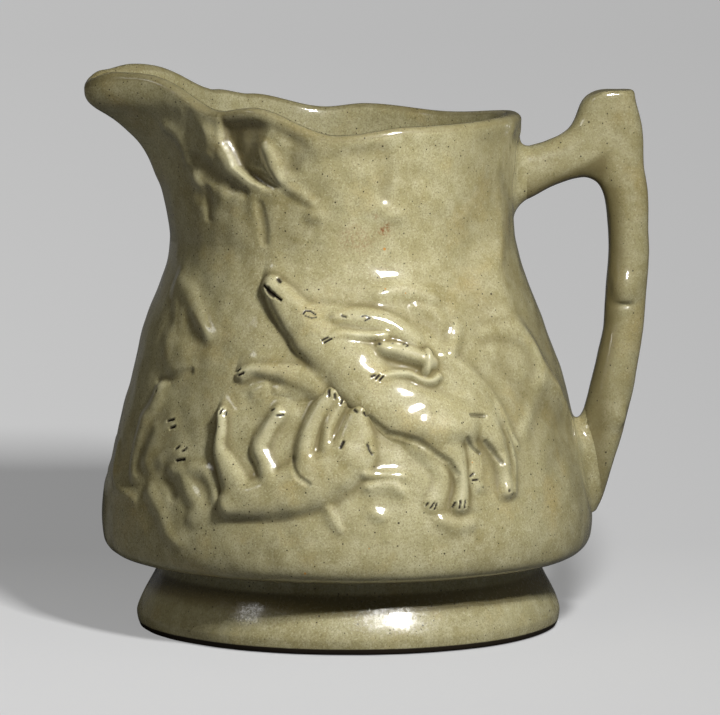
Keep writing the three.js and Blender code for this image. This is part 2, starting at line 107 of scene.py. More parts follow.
# Handle: stations of distance along X, height and half width
STEM = [
    (105.2, 226, 9.7), (105, 214, 9.9), (105.1, 206, 10.3), (107.3, 196, 9.7), (111.3, 178, 8.9),
    (112.8, 166, 8.6), (113.5, 150, 8.1), (112.1, 129, 8.2), (110.7, 114, 8.1), (104.3, 84, 8.9),
    (95, 53, 8.7),
]
ARM = [
    (52, 174, 12), (60.3, 178.3, 11.4), (69.9, 181.3, 10.5), (78.5, 184.5, 9.1), (84.3, 186.7, 8.9),
    (94.3, 190.8, 9.2), (105.3, 198, 9),
]
SAWN_TOP = 214.8
SAWN_CORNER = (98.6, 213.7)
SAWN_CORNER_SLOPE = 28
SAWN_EDGE = 1.6
SAWN_CORNER_EDGE = 2.5
GRIP_DEPTH = 8
GRIP_EDGE = 7.3
FORK_BLEND = 13
# Buds of the branch and the notches under them: centre and radii
BUDS = [((111.4, -7, 135), (4.8, 3.4, 6.4)), ((107.6, -7, 83.5), (4.4, 2, 5))]
BUD_BLEND = 2.5
NOTCHES = [((108.3, -8.6, 128.4), (5.5, 1.8, 1)), ((106.4, 8.4, 128), (5, 1.4, 1))]
NOTCH_BLEND = 1.2
# Boxes that hold the handle and the clay worked round its roots
HANDLE_BOX = ((60, -13, 46), (124, 13, 218))
COLLAR_BOXES = {
    "upper_luting_collar": ((56, -24, 150), (92, 24, 204)),
    "lower_luting_collar": ((76, -24, 44), (108, 24, 104)),
}
COLLAR_BLEND = 8
COLLAR_SINK = 0.2

# Clay rolls behind the wall seams
COIL_HALF_WIDTH = 5
COIL_THICKNESS = 2.5
COIL_TAPER = 6
COIL_BED = 1.5

# Unevenness of hand-finished clay: height, number of waves, shortest and longest wave, and random seed
WALL_WAVES = [(0.32, 26, 26, 80, 3), (0.14, 30, 9, 22, 4)]
INNER_WAVES = [(0.25, 20, 14, 50, 5)]
FOLIAGE_WAVES = [(0.28, 30, 7, 16, 11)]
FIGURE_WAVES = [(0.15, 40, 6, 17, 12)]
TURNED_WAVES = [(1, 20, 20, 70, 6), (0.4, 30, 7, 17, 13)]
COIL_WAVES = [(0.3, 12, 8, 20, 8)]
BRANCH_WAVES = [(0.16, 16, 14, 40, 9), (0.05, 24, 5, 12, 14)]

# Fineness of the meshes
BODY_COLUMNS = 310
UNDER_BELLY_ROWS = 30
BODY_ROWS = 112
NECK_ROWS = 62
LIP_ROWS = 9
INNER_ROWS = 62
PATCH_CELL = 0.4
PATCH_MARGIN = 10
LATHE_COLUMNS = 240
FOOT_FLANK_ROWS = 26
FOOT_EDGE_ROWS = 20
FLOOR_RINGS = 24
FLOOR_COIL_ROWS = 14
COIL_COLUMNS = 25
COIL_ROWS = 130
HANDLE_CELL = 0.8
COLLAR_CELL = 0.7
RELAX_PASSES = 3

# Relief figures. A stroke has a name, the distance that it stands out, and points of bearing from the
# middle of the side towards the handle, height and half width.
QUARRY = [
    ("muzzle", 4.8, [(-27, 143, 5), (-24, 139, 6.5), (-19, 132, 7.8), (-13.5, 124, 9.1)]),
    ("neck", 5, [(-13.5, 124.5, 9.5), (-8, 119, 12.1), (-1.5, 111.5, 13)]),
    ("flank", 5.2, [(-3, 108.5, 10.4), (2.5, 104, 12.1), (10, 98, 13), (18.5, 92.5, 11.7),
        (25.5, 90.5, 9.1)]),
    ("back", 2.8, [(1.5, 124.5, 10.4), (10, 118, 13.9), (18.5, 109, 15.6), (27, 100, 13.9),
        (33, 91.5, 9.5)]),
    ("rump", 3.4, [(26.5, 95.5, 9.5), (32, 89.5, 7.4), (35, 82.5, 5.4)]),
    ("scruff", 3.2, [(-15, 131, 6.5), (-8, 130, 7.5), (0, 127.5, 8)]),
    ("foreleg", 2.7, [(-12, 107, 7), (-18, 109, 5.2), (-24, 110.6, 3.3), (-30.5, 111, 2.6),
        (-34, 109, 2.8)]),
    ("bent foreleg", 0.8, [(-17, 103, 2), (-20, 104.5, 2), (-23, 104, 1.8)]),
    ("first hind leg", 1.6, [(12.5, 84, 4), (16.5, 78, 4), (18.3, 72, 3.4), (17.5, 66, 3),
        (15.3, 60.5, 3.3)]),
    ("second hind leg", 3.6, [(19, 86, 9), (22, 78, 6), (23, 71, 3.4), (22.8, 65, 3),
        (21.8, 59.5, 3.6)]),
    ("third hind leg", 1.9, [(27.5, 88.5, 3.5), (27, 82, 3.6), (27.5, 75.5, 3.8), (26.5, 69.5, 3.8),
        (27, 66.5, 3.5)]),
    ("fourth hind leg", 3, [(32.5, 89, 5.6), (35, 82, 5), (36, 74, 4), (36, 67.5, 3.6),
        (35.5, 63, 3.5)]),
    ("upper hound head", 4.5, [(-6.5, 131.5, 3.4), (-1, 131.5, 4.5), (5, 130, 5.2),
        (11, 126.5, 5.2), (15.5, 122, 4.6)]),
    ("upper hound paw", 5.3, [(-9.5, 123, 2.6), (-5.5, 125.2, 2.6), (-1, 124.5, 2.6), (7, 124.5, 2.6)]),
    ("lower hound snout", 6.6, [(6.2, 119.2, 3.9), (10, 118.4, 4.3), (14, 116.6, 4.6), (19, 113.5, 4)]),
    ("lower hound ear", 7.5, [(18.3, 117, 2.4), (17.8, 113.5, 3.1), (16.9, 110, 2.2)]),
    ("lower hound paw", 5.7, [(5, 108.3, 2.5), (8, 109.5, 2.3), (12.5, 109.3, 2.3),
                              (15.5, 107, 2.5), (18.3, 106.3, 2.5),
        (20.5, 108, 2.3)]),
]
FALLEN_HOUND = [
    ("trunk", 4.2, [(-33.5, 60, 6.5), (-27.5, 62, 8), (-21, 64.5, 9.4), (-14.5, 68.5, 10.4),
                    (-9.5, 73, 10.4),
        (-5, 79, 9.1)]),
    ("left hind leg", 3.7, [(-32.5, 66, 7.1), (-35.5, 74, 5.4), (-38, 80.5, 3.6), (-38, 88, 2.8),
        (-38.5, 94, 2.6)]),
    ("right hind leg", 3.2, [(-24, 70, 4.5), (-25.5, 76.5, 4), (-27, 82, 4), (-25, 89, 3.1),
        (-22.5, 95, 3.1)]),
    ("left foreleg", 4, [(-15, 75.5, 5.4), (-15, 83.5, 4.4), (-13, 92.5, 3.9), (-10, 99.5, 4),
        (-8, 103, 4)]),
    ("right foreleg", 3.4, [(-10, 83, 3.3), (-9.5, 89.5, 2.9), (-8, 95, 3.1), (-6, 99.5, 3.3)]),
    ("head", 4.4, [(-1, 96.5, 3.9), (-2, 92.3, 6.1), (-3, 85.5, 8), (-3.5, 79.5, 8.7)]),
    ("chest", 3, [(0, 80.5, 3.8), (-2, 76, 5), (-6.5, 72, 6.5)]),
]
CROUCHING_HOUND = [
    ("head", 1.7, [(-63.5, 100, 3.3), (-64, 94.5, 4.2), (-67.5, 87.5, 3.8)]),
    ("back", 1.6, [(-67.5, 87.5, 3.2), (-69, 77, 3), (-69.5, 70, 2.8), (-68, 65, 2.4)]),
    ("chest", 1, [(-61.5, 84.5, 3.1), (-61.5, 77.5, 3.9), (-62, 70.5, 3.9)]),
    ("high paw", 1.4, [(-56, 87.5, 3.1), (-60, 83.5, 2.6), (-62.5, 78, 2.8), (-64, 72, 3.1)]),
    ("low paw", 1.4, [(-50.5, 76.5, 3.6), (-54.5, 75.5, 3), (-58, 73, 3.1)]),
    ("haunch", 1.5, [(-53.5, 70, 2.4), (-50, 70.5, 3), (-46.5, 64, 3.8), (-43.5, 58, 3.6),
        (-44.5, 53, 3.2)]),
    ("thigh", 1.5, [(-46.5, 71.5, 2.6), (-42, 71, 3), (-39, 66.5, 3), (-38, 61, 2.4)]),
    ("tail", 1.3, [(-60, 60.5, 3.4), (-55, 53, 3.4), (-51.5, 45, 3.2), (-49, 42.5, 2.4)]),
]
STUMP = [
    ("right ridge", 1.9, [(-68, 141.5, 4.2), (-60, 138, 5), (-55.5, 133, 4.2), (-51, 127.5, 3.4),
        (-47.5, 122.5, 2.4)]),
    ("left fold", 0.8, [(-71, 140.5, 2.8), (-66.5, 134, 2.2), (-64.5, 129.5, 1.5), (-63, 123, 1.2)]),
    ("middle fold", 0.8, [(-61.5, 132, 1.5), (-60, 124, 1.2)]),
    ("body", 1.3, [(-64, 119, 5), (-59.5, 113.5, 7.4), (-57.5, 110, 6.4)]),
]
OAK_BRANCH = [
    ("bough", 0.3, [(-47, 193, 1.4), (-43.5, 188.5, 1.8), (-36.5, 184, 1.8), (-30.5, 181.5, 1.4)]),
    ("leaf", 2.3, [(-29, 197, 3.2), (-27, 191, 3.8), (-25, 185.5, 2.4)]),
    ("twig", 0.8, [(-22, 182, 2), (-18, 179.5, 2), (-14.5, 176.5, 1.6)]),
]
THICKET = [
    ("clump rim", 0.9, [(40.5, 124, 2.5), (47.5, 123, 3), (55.5, 118, 3.2), (58, 109.5, 3),
        (57.5, 101.5, 2.4)]),
    ("clump core", 0.9, [(42.5, 116.5, 3.6), (48, 112.5, 4.5), (50, 107.5, 3.8)]),
    ("stem", 0.7, [(57, 102, 3), (54, 95.5, 3.2), (46, 85, 2.6)]),
]
# Soft forms of the ground around the figures
GROUND = [
    ("hip under the hide", 2.2, [(17, 88.5, 10.5), (21, 87.5, 10)]),
    ("shoulder under the hide", 1.4, [(-4, 116, 8), (0, 113, 8)]),
    ("hillock", 1.6, [(-0.5, 72, 1.9), (3.5, 72, 2.6), (8.5, 71.5, 2.1)]),
    ("hillock side", 1.6, [(0, 67.5, 2.3), (5, 68.5, 3.1), (7.5, 66, 2.6)]),
    ("first tuft", 1.2, [(-9.5, 59, 2.3), (-8.5, 55.5, 2.6), (-7, 51.5, 2.1)]),
    ("second tuft", 1.2, [(1, 57.5, 2.3), (3, 56.5, 2.6)]),
    ("third tuft", 1.3, [(17, 54, 2.6), (20.5, 51.5, 3.3), (24.5, 52, 2.6)]),
    ("long leaf", 1.7, [(6.5, 140.5, 3.5), (15, 142, 4), (23.5, 138.5, 3.8)]),
    ("middle leaf", 1.4, [(18.5, 135.5, 2.9), (23, 133.5, 3.5), (26, 129.5, 2.9)]),
    ("upright leaf", 1.7, [(30.5, 125.5, 3.1), (29, 121.5, 3.1), (26.5, 117, 2.6)]),
    ("pebble", 1, [(-30, 102.5, 2.3), (-27, 105, 2.3)]),
    ("back line", 1, [(24, 116, 2.5), (31, 109, 2.5), (36.5, 102.5, 2.5), (39.5, 93.5, 2.5),
        (41, 84.5, 2.2), (42.5, 80, 1.7)]),
    ("hind line", 0.9, [(39.5, 86.5, 2), (40, 75, 2), (38, 62.5, 1.7)]),
    ("hedge under the spout", 0.8, [(-81.5, 74, 2.3), (-81.5, 66.5, 2.6), (-76.5, 60, 2.6),
        (-66, 56, 2.3)]),
    ("spout ridge", 1.8, [(-71, 203, 3.3), (-68, 201, 3.6), (-64, 195, 3.6), (-62.5, 190.5, 3)]),
    ("spout knob", 1.2, [(-53, 205, 4), (-51.5, 200.5, 4.1), (-53, 194.5, 3.3)]),
    ("spout lump", 1, [(-61, 184, 3), (-59, 181.5, 2.6)]),
    ("neck swell", 1, [(-14.5, 171, 3), (-12.5, 171, 3)]),
    ("neck leaf", 1.2, [(11, 171, 4), (14, 171.5, 4)]),
]
HOLLOWS = [
    ("hollow beside the leaf", 1.2, [(-23.5, 206.5, 5), (-18.5, 200.5, 4.5), (-20.5, 190, 3)]),
    ("hollow before the bough", 1.1, [(-60, 191, 4), (-54, 187, 4.4), (-47, 182.5, 3.2),
        (-39, 179.5, 2.4)]),
    ("front furrow", 0.8, [(-54.5, 179, 2.2), (-54.8, 174, 2.3), (-54.5, 169, 2)]),
    ("middle furrow", 0.8, [(-33, 175, 2), (-31.5, 167, 2.2), (-31, 160.5, 1.8)]),
    ("dent under the rim", 0.8, [(-0.5, 197.5, 6.5), (6, 196, 7), (9, 187, 4.1), (9.5, 179, 3)]),
    ("fold under the stump", 0.8, [(-65.5, 103.5, 1.8), (-58, 105.5, 2.2), (-52.5, 108.5, 1.6)]),
    ("hollow of the thigh", 0.8, [(-54, 66.5, 3.1), (-51.5, 61, 2.8)]),
]
# Recess in the foliage under the rim: height and bearing of its edge, and height and width of its floor
RECESS_EDGE = [(182, -32), (184, -35.5), (189.5, -42), (199, -46.5), (210, -46.5)]
RECESS_WIDTH = [(182, 8), (190, 13), (198, 18), (207, 24)]
RECESS_DEPTH = 4.1
# Swell of the front under the spout: height and how far it stands out
FRONT_SWELL = [
    (42, 2.2), (56, 2.6), (69, 1.2), (82, 1.8), (104, 1.3), (119, 2.4), (145, -0.2), (172, 1.8),
    (180, 1.6), (195, -0.5), (206, -0.2), (213, 0.4),
]
# Tree trunk beside the handle: height and bearing of its edge, and height and swell of the wall behind it
TRUNK_EDGE = [
    (46, 84), (80, 80), (93, 69), (101, 63), (114, 58), (129, 51), (147, 52), (160, 59), (178, 65),
]
TRUNK_SWELL = [(40, 1.1), (60, 0.6), (78, 1.2), (105, 3), (122, 2.8), (146, 2.3), (166, 0.7), (180, 0)]
TRUNK_RIDGE = 3.6
TRUNK_FALL = 6
TRUNK_ROUNDING = 1.6

# Marks cut into the figures: name, half width, depth, share of dark iron (painted shade in the creases and
# gaps), and runs of bearing and height
QUARRY_MARKS = [
    ("mouth", 0.55, 1.5, 1, [(-29.2, 143.2), (-26.8, 140.8), (-23, 137.6)]),
    ("open lips", 1, 1.3, 0.95, [(-27.6, 141.6), (-26.8, 140.4), (-25.4, 139.4)]),
    ("lip dot", 0.35, 0.4, 0.9, [(-29.2, 138.8)]),
    ("nostril", 0.6, 0.9, 1, [(-25, 145.8), (-24.2, 144.8)]),
    ("upper lid", 0.38, 0.2, 1, [(-16, 132.4), (-15.5, 133.7), (-14.2, 133.8), (-12.6, 132.4)]),
    ("lower lid", 0.3, 0.12, 0.9, [(-15.4, 131.7), (-13.6, 130.9), (-12.3, 131.3)]),
    ("upper hound nostril", 0.5, 0.6, 0.9, [(-5, 132), (-4, 131.5)]),
    ("lower hound nostril", 0.6, 0.8, 1, [(5, 121)]),
    ("lower hound whisker", 0.35, 0.5, 1, [(8.5, 121)]),
    ("eyes of both hounds", 0.3, 0.12, 1, [(0.5, 131.5), (1.5, 132), (3, 131), (1.5, 130)],
     [(11.5, 120.5), (12.5, 121), (13, 120), (12, 119.5)]),
    ("claws of the upper hound", 0.4, 0.7, 1, [(-10.5, 122.5), (-9, 123.5)], [(-10, 121.5), (-8, 123)]),
    ("claws of the lower hound", 0.4, 0.7, 1, [(2, 108.5), (3, 109)], [(3, 107.5), (4, 109)],
     [(4, 107), (5, 108.5)]),
    ("front hoof", 0.5, 0.8, 1, [(-36, 109.5), (-34.5, 111)], [(-34.5, 108.5), (-33, 109.5)]),
    ("first hind hoof", 0.35, 0.7, 1, [(13.5, 60), (14, 61)], [(14.5, 59), (15.5, 61)],
     [(15.5, 58.5), (16, 60.5)]),
    ("second hind hoof", 0.4, 0.8, 1, [(20, 59), (20.5, 60.5)], [(21.3, 58.3), (21.6, 61)],
     [(22.6, 58.3), (23, 61)]),
    ("third hind hoof", 0.4, 0.7, 1, [(25.5, 70), (26.5, 71)], [(26, 68.5), (27.5, 68.5)]),
    ("dot on the third hoof", 0.4, 0.6, 1, [(29, 65.5)]),
    ("fourth hind hoof", 0.6, 0.7, 1, [(35.5, 63)]),
    ("dot on the fourth hoof", 0.5, 0.7, 0.8, [(37, 61.5)]),
    # The creases and the gaps between the legs are darkened as painted shade of their crevices.
    ("belly crease", 0.95, 0.7, 0.15, [(1, 93.5), (5.5, 88), (9, 86.5)]),
    ("thigh crease", 1.05, 0.75, 0.15, [(9, 86.5), (13, 84), (17, 79)]),
    ("hock crease", 0.95, 0.7, 0.15, [(17, 79), (20, 76), (22, 71)]),
    ("gaps between the hind legs", 0.8, 0.9, 0.5, [(27.5, 92.5), (32, 92)],
     [(25.5, 84), (27.5, 80.5), (29.5, 78.5)], [(31.5, 82.5), (33.5, 78.5), (35, 74)]),
]
FALLEN_HOUND_MARKS = [
    ("left forepaw claws", 0.45, 0.8, 1, [(-11, 102.5), (-10.5, 104)], [(-9, 101.5), (-9, 104)]),
    ("left forepaw, short claw", 0.4, 0.8, 1, [(-7.5, 101), (-7.5, 102.5)]),
    ("right forepaw claw", 0.45, 0.8, 1, [(-6, 99), (-5.5, 101)]),
    ("left nostril", 0.55, 0.8, 1, [(-2.6, 96.4), (-2.2, 95.7)]),
    ("right nostril", 0.6, 0.8, 1, [(-0.3, 95.2), (0.1, 94.5)]),
    ("left eye", 0.6, 0.8, 1, [(-5.7, 84.4), (-6.4, 82.2)]),
    ("right eye", 0.5, 0.8, 0.9, [(0, 83.5), (0.5, 81), (1, 80)]),
    # The shoulder crease is darkened as painted shade of its crevice.
    ("shoulder crease", 1, 0.7, 0.15, [(-18, 78.5), (-18, 75), (-16.5, 71), (-14, 68.5)]),
    ("left hind paw claws", 0.35, 0.7, 1, [(-39.5, 94), (-39, 95)], [(-38.2, 93.4), (-38, 95.3)],
     [(-37, 93.2), (-37, 94.5)]),
    ("right hind paw claws", 0.4, 0.7, 1, [(-24.5, 96), (-23.5, 96.5)], [(-22.5, 94), (-21, 94.5)]),
]
CROUCHING_HOUND_MARKS = [
    ("nostril", 0.55, 0.7, 1, [(-64.5, 99)]),
    ("eye", 0.55, 0.7, 0.9, [(-71.5, 93.5)]),
    ("high paw claws", 0.5, 0.8, 1, [(-57.5, 88.5), (-55.5, 89.5)], [(-56, 86), (-54.5, 87)]),
    ("low paw claws", 0.5, 0.8, 1, [(-52.5, 78.5), (-51.5, 79.5)], [(-50, 78), (-49, 79)],
     [(-51.5, 74), (-49, 75)]),
]
MARK_REACH = 9

# Each figure with its strokes, its marks, the distance in which it runs out towards the handle and the
# rim, and how far the mould had worn it soft
FIGURES = [
    ("quarry", QUARRY, QUARRY_MARKS, 3.2, 6),
    ("fallen_hound", FALLEN_HOUND, FALLEN_HOUND_MARKS, 2.4, 6),
    ("crouching_hound", CROUCHING_HOUND, CROUCHING_HOUND_MARKS, 2.4, 26),
    ("stump", STUMP, [], 2.4, 34),
    ("oak_branch", OAK_BRANCH, [], 1, 9),
    ("thicket", THICKET, [], 3, 20),
]
STROKE_BLEND = 2
GROUND_POWER = 2
HOLLOW_POWER = 2.6
FILLET = 0.7
SINK = 0.08
LOWEST = -6.0
POINTS_PER_SPAN = 5
POINTS_PER_STATION = 8
BACK_OF_FIGURE = 0.8

# How thick the glaze lies: 1 in a deep pool. The same values also carry painted shade in the hollows, the
# recess, the groove, on the lip and on the handle
WALL_POOL_PASSES = 8
FIGURE_POOL_PASSES = 60
POOL_DEPTH = 1.2
# Painted shade in the hollows, with some pooled glaze
HOLLOW_POOL_AND_SHADE = 0.28
# Painted shade in the recess under the rim
RECESS_PAINTED_SHADE = 0.22
# Painted shade on the underside of the belly above the foot, and the height over which it fades
GROOVE_PAINTED_SHADE = 0.8
GROOVE_SHADE_RISE = 5
# Painted shade on the rounded lip, darkening its up-facing top
LIP_PAINTED_SHADE = 0.5
# Painted shade on the handle away from the wall
HANDLE_PAINTED_SHADE = 0.25
# Painted shade along the inside of the grip and under its arm
GRIP_PAINTED_SHADE = 0.75
# Darker colour towards the handle
HANDLE_SIDE_DARKENING = 0.24
DULLNESS = 3
# Iron stains of the firing on the neck: bearing, height, size and strength
RUST_STAINS = [
    (9.3, 165, 2.2, 1), (10.4, 167.5, 1, 0.7), (-1.5, 162.5, 5, 0.35), (3, 160.5, 4, 0.3),
    (6.5, 171, 0.9, 0.7),
]


# Small helpers

def smooth_step(low, high, value):
    share = np.clip((value - low) / (high - low), 0, 1)
    return share * share * (3 - 2 * share)


def ease_through(points, value):
    """Smooth run through a list of turning points."""
    height = points[0][1]
    for (start, low), (end, high) in zip(points, points[1:]):
        height = height + (high - low) * smooth_step(start, end, value)
    return height


def bezier(points, count):
    """Points along a cubic curve, both ends included."""
    t = np.linspace(0, 1, count)[:, None]
    a, b, c, d = (np.array(p, float) for p in points)
    return a * (1 - t) ** 3 + 3 * b * t * (1 - t) ** 2 + 3 * c * t * t * (1 - t) + d * t ** 3


def catmull_rom(points, per_span):
    """Smooth run through points of any dimension."""
    given = np.array(points, float)
    ends = np.vstack([2 * given[0] - given[1], given, 2 * given[-1] - given[-2]])
    t = np.arange(per_span)[:, None] / per_span
    runs = []
    for a, b, c, d in zip(ends, ends[1:], ends[2:], ends[3:]):
        runs.append(b + t / 2 * (c - a + t * (2 * a - 5 * b + 4 * c - d + t * (3 * (b - c) + d - a))))
    return np.vstack(runs + [given[-1:]])


def smooth_max(a, b, blend):
    near = np.maximum(blend - np.abs(a - b), 0)
    return np.maximum(a, b) + near * near / (4 * blend)


def smooth_min(a, b, blend):
    return -smooth_max(-a, -b, blend)


def soften(grid, passes):
    """Blurs a grid of heights a little more with each pass."""
    for _ in range(passes):
        for axis in (0, 1):
            padded = np.concatenate([grid.take([0], axis), grid, grid.take([-1], axis)], axis)
            size = grid.shape[axis]
            before, after = padded.take(range(size), axis), padded.take(range(2, size + 2), axis)
            grid = (before + 2 * grid + after) / 4
    return grid


def eased(heights, reach):
    """Lets forms run out gently towards the handle and the rim, like clay eased from its mould."""
    kept = math.exp(-PATCH_CELL / reach)
    for column in range(1, heights.shape[1]):
        heights[:, column] = np.maximum(heights[:, column], kept * heights[:, column - 1])
    for row in range(1, heights.shape[0]):
        heights[row] = np.maximum(heights[row], kept * heights[row - 1])
    return heights


# Shape of the wall

UNDER_BELLY = [
    (GROOVE_RADIUS, FOOT_HEIGHT),
    (GROOVE_RADIUS + UNDER_BELLY_REACH, FOOT_HEIGHT + UNDER_BELLY_RISE),
    (BELLY_RADIUS, BELLY_HEIGHT - BELLY_ROUNDING),
    (BELLY_RADIUS, BELLY_HEIGHT),
]
UPPER_BODY = [
    (BELLY_RADIUS, BELLY_HEIGHT),
    (BELLY_RADIUS, BELLY_HEIGHT + BELLY_PULL),
    (NECK_RADIUS, NECK_HEIGHT - NECK_PULL),
    (NECK_RADIUS, NECK_HEIGHT),
]
PROFILE = np.vstack([bezier(UNDER_BELLY, 300)[:-1], bezier(UPPER_BODY, 600)])


def body_radius(height):
    return np.interp(height, PROFILE[:, 1], PROFILE[:, 0])


def rim_height(bearing, side):
    lift = np.where(side == LEFT, ease_through(LEFT_RIM, bearing), ease_through(RIGHT_RIM, bearing))
    return NECK_HEIGHT + RIM_RISE + lift


def spout_share(bearing):
    """1 in the middle of the spout, running out towards the sides."""
    return np.exp((SPOUT_ROUNDING - np.hypot(bearing, SPOUT_ROUNDING)) / SPOUT_SPREAD)


def lip_height(bearing):
    return LIP_HEIGHT + (SPOUT_LIP_HEIGHT - LIP_HEIGHT) * spout_share(bearing)


def below_lip(bearing, height, side):
    """How far a height lies below the start of the rounded lip."""
    return rim_height(bearing, side) - lip_height(bearing) - height


def lip_roll(drop):
    """Slight thickening of the wall under the lip."""
    return LIP_ROLL * np.exp(-(drop / LIP_ROLL_REACH) ** 2)


def wall_radius(bearing, height, side):
    climb = np.maximum(0, (height - NECK_HEIGHT) / (rim_height(bearing, side) - NECK_HEIGHT))
    share = spout_share(bearing)
    flare = RIM_FLARE * climb ** RIM_FLARE_POWER * (1 - share)
    reach = smooth_min(climb / SPOUT_BLUNT, np.ones_like(climb), 0.08) ** SPOUT_POWER
    return body_radius(height) + flare + SPOUT_REACH * reach * share


def wall_lean(height):
    return NECK_LEAN * smooth_step(BELLY_HEIGHT, NECK_HEIGHT, height)


def wall_point(bearing, height, side):
    """Point on the plain wall. The bearing runs from 0 at the spout to 180 at the handle."""
    radius = wall_radius(bearing, height, side)
    angle = np.radians(bearing)
    x = -radius * np.cos(angle) - wall_lean(height)
    return np.stack(np.broadcast_arrays(x, side * radius * np.sin(angle), height), -1)


def wall_normal(bearing, height, side):
    reach = 0.1
    along = wall_point(bearing + reach, height, side) - wall_point(bearing - reach, height, side)
    up = wall_point(bearing, height + reach, side) - wall_point(bearing, height - reach, side)
    normal = np.cross(along, up) * -np.asarray(side)[..., None]
    return normal / np.linalg.norm(normal, axis=-1, keepdims=True)


# Relief on the wall

def nearest_on_path(path, along, height, scale):
    """Distance to a path, and its half width there. The scale turns the first axis into millimetres."""
    best = np.full(along.shape, np.inf)
    width = np.zeros(along.shape)
    for start, end in zip(path, path[1:]):
        run = (end[0] - start[0]) * scale
        rise = end[1] - start[1]
        across = (along - start[0]) * scale
        above = height - start[1]
        length = np.maximum(run * run + rise * rise, TINY)
        share = np.clip((across * run + above * rise) / length, 0, 1)
        distance = np.hypot(across - share * run, above - share * rise)
        nearer = distance < best
        best = np.where(nearer, distance, best)
        width = np.where(nearer, start[2] + share * (end[2] - start[2]), width)
    return best, width


def nearest_on_stroke(points, bearing, height):
    return nearest_on_path(points, bearing, height, math.radians(1) * body_radius(height))


def stroke_heights(strokes, bearing, height):
    """Height of the joined strokes over the wall. It runs on below zero around them."""
    field = np.full(bearing.shape, LOWEST)
    for _, out, given in strokes:
        points = catmull_rom(given, POINTS_PER_SPAN)
        reach = points[:, 2].max() * 2
        inside = (height > points[:, 1].min() - reach) & (height < points[:, 1].max() + reach)
        degrees = np.degrees(reach / NECK_RADIUS)
        inside &= (bearing > points[:, 0].min() - degrees) & (bearing < points[:, 0].max() + degrees)
        distance, width = nearest_on_stroke(points, bearing[inside], height[inside])
        power = np.clip(1.8 + width / 6, 2, 4)
        crown = np.maximum(out * (1 - (distance / width) ** power), LOWEST)
        field[inside] = smooth_max(field[inside], crown, STROKE_BLEND)
    return field


def soft_forms(strokes, bearing, height, power):
    """Height of low forms that swell out of the wall without any edge, flatter with a higher power."""
    total = np.zeros(bearing.shape)
    for _, out, given in strokes:
        distance, width = nearest_on_stroke(catmull_rom(given, POINTS_PER_SPAN), bearing, height)
        total = np.maximum(total, out * np.exp(-1.1 * (distance / width) ** power))
    return total


def raised(field):
    """Heights over the wall, with a soft fillet round their foot."""
    return FILLET * np.logaddexp(0, field / FILLET)


def mark_depths(marks, bearing, height):
    """Depth of the cut marks, and how much dark iron lies in them, or painted shade in the creases and
    gaps.
    """
    depth = np.zeros(bearing.shape)
    iron_and_shade = np.zeros(bearing.shape)
    for _, half_width, deep, darkness, *runs in marks:
        for run in runs:
            points = [(along, rise, half_width) for along, rise in run]
            middle_bearing, middle_height, _ = np.mean(points, axis=0)
            inside = np.abs(bearing - middle_bearing) < MARK_REACH
            inside &= np.abs(height - middle_height) < MARK_REACH
            distance, _ = nearest_on_stroke(points + points[-1:], bearing[inside], height[inside])
            cut = np.clip(1 - (distance / (1.5 * half_width)) ** 2, 0, 1) ** 1.5
            depth[inside] = np.maximum(depth[inside], deep * cut)
            iron_and_shade[inside] = np.maximum(iron_and_shade[inside], darkness * smooth_step(0.15, 0.7, cut))
    return depth, iron_and_shade


def unevenness(points, layers):
    """Hand-made unevenness: layers of waves through space in all directions."""
    total = np.zeros(points.shape[:-1])
    for out, count, shortest, longest, seed in layers:
        random = np.random.default_rng(seed)
        for _ in range(count):
            direction = random.normal(size=3)
            direction *= 2 * math.pi / np.linalg.norm(direction) / random.uniform(shortest, longest)
            wave = np.sin(points @ direction + random.uniform(0, 2 * math.pi))
            total += out / math.sqrt(count) * wave
    return total


def trunk_form(bearing, height):
    """Swell of the tree trunk, with a ridge where it turns towards the handle."""
    past = bearing - SIDE_MIDDLE - np.interp(height, *np.array(TRUNK_EDGE).T)
    swell = ease_through(TRUNK_SWELL, height) * smooth_step(-16, 3, past)
    share = smooth_step(80, 100, height) * (1 - smooth_step(150, 178, height))
    turned = TRUNK_ROUNDING * np.logaddexp(0, past / TRUNK_ROUNDING)
    fall = 1 - np.exp(-turned / TRUNK_FALL)
    return swell + share * TRUNK_RIDGE * (smooth_step(-16, 0, past) - fall)


def front_swell(middle, height):
    return smooth_step(-55, -78, middle) * ease_through(FRONT_SWELL, height)


def recess(middle, height):
    """Hollow under the rim: steep behind the bough, then rising slowly towards the leaf."""
    past = (middle - np.interp(height, *np.array(RECESS_EDGE).T)) * math.radians(NECK_RADIUS)
    width = np.interp(height, *np.array(RECESS_WIDTH).T)
    share = smooth_step(179, 187, height) * (1 - smooth_step(207, 214, height))
    return RECESS_DEPTH * share * smooth_step(-1, 1.8, past) * np.clip(1 - (past / width) ** 2, 0, 1)


def ground_height(bearing, height, side):
    """Soft forms of the wall itself."""
    middle = bearing - SIDE_MIDDLE
    point = wall_point(bearing, height, side)
    forms = soft_forms(GROUND, middle, height, GROUND_POWER)
    forms = forms - soft_forms(HOLLOWS, middle, height, HOLLOW_POWER)
    forms = forms + front_swell(middle, height) - recess(middle, height) + trunk_form(bearing, height)
    foliage = smooth_step(164, 176, height) * (0.35 + 0.65 * smooth_step(10, -20, middle))
    lumps = foliage * smooth_step(-76, -62, middle) * unevenness(point, FOLIAGE_WAVES)
    drop = below_lip(bearing, height, side)
    uneven = (forms + lumps + unevenness(point, WALL_WAVES)) * (0.2 + 0.8 * smooth_step(0, 6, drop))
    return lip_roll(drop) + uneven * smooth_step(FOOT_HEIGHT, FOOT_HEIGHT + 8, height)


def figure_heights(bearing, height):
    middle = bearing - SIDE_MIDDLE
    return [raised(stroke_heights(strokes, middle, height)) for _, strokes, *_ in FIGURES]


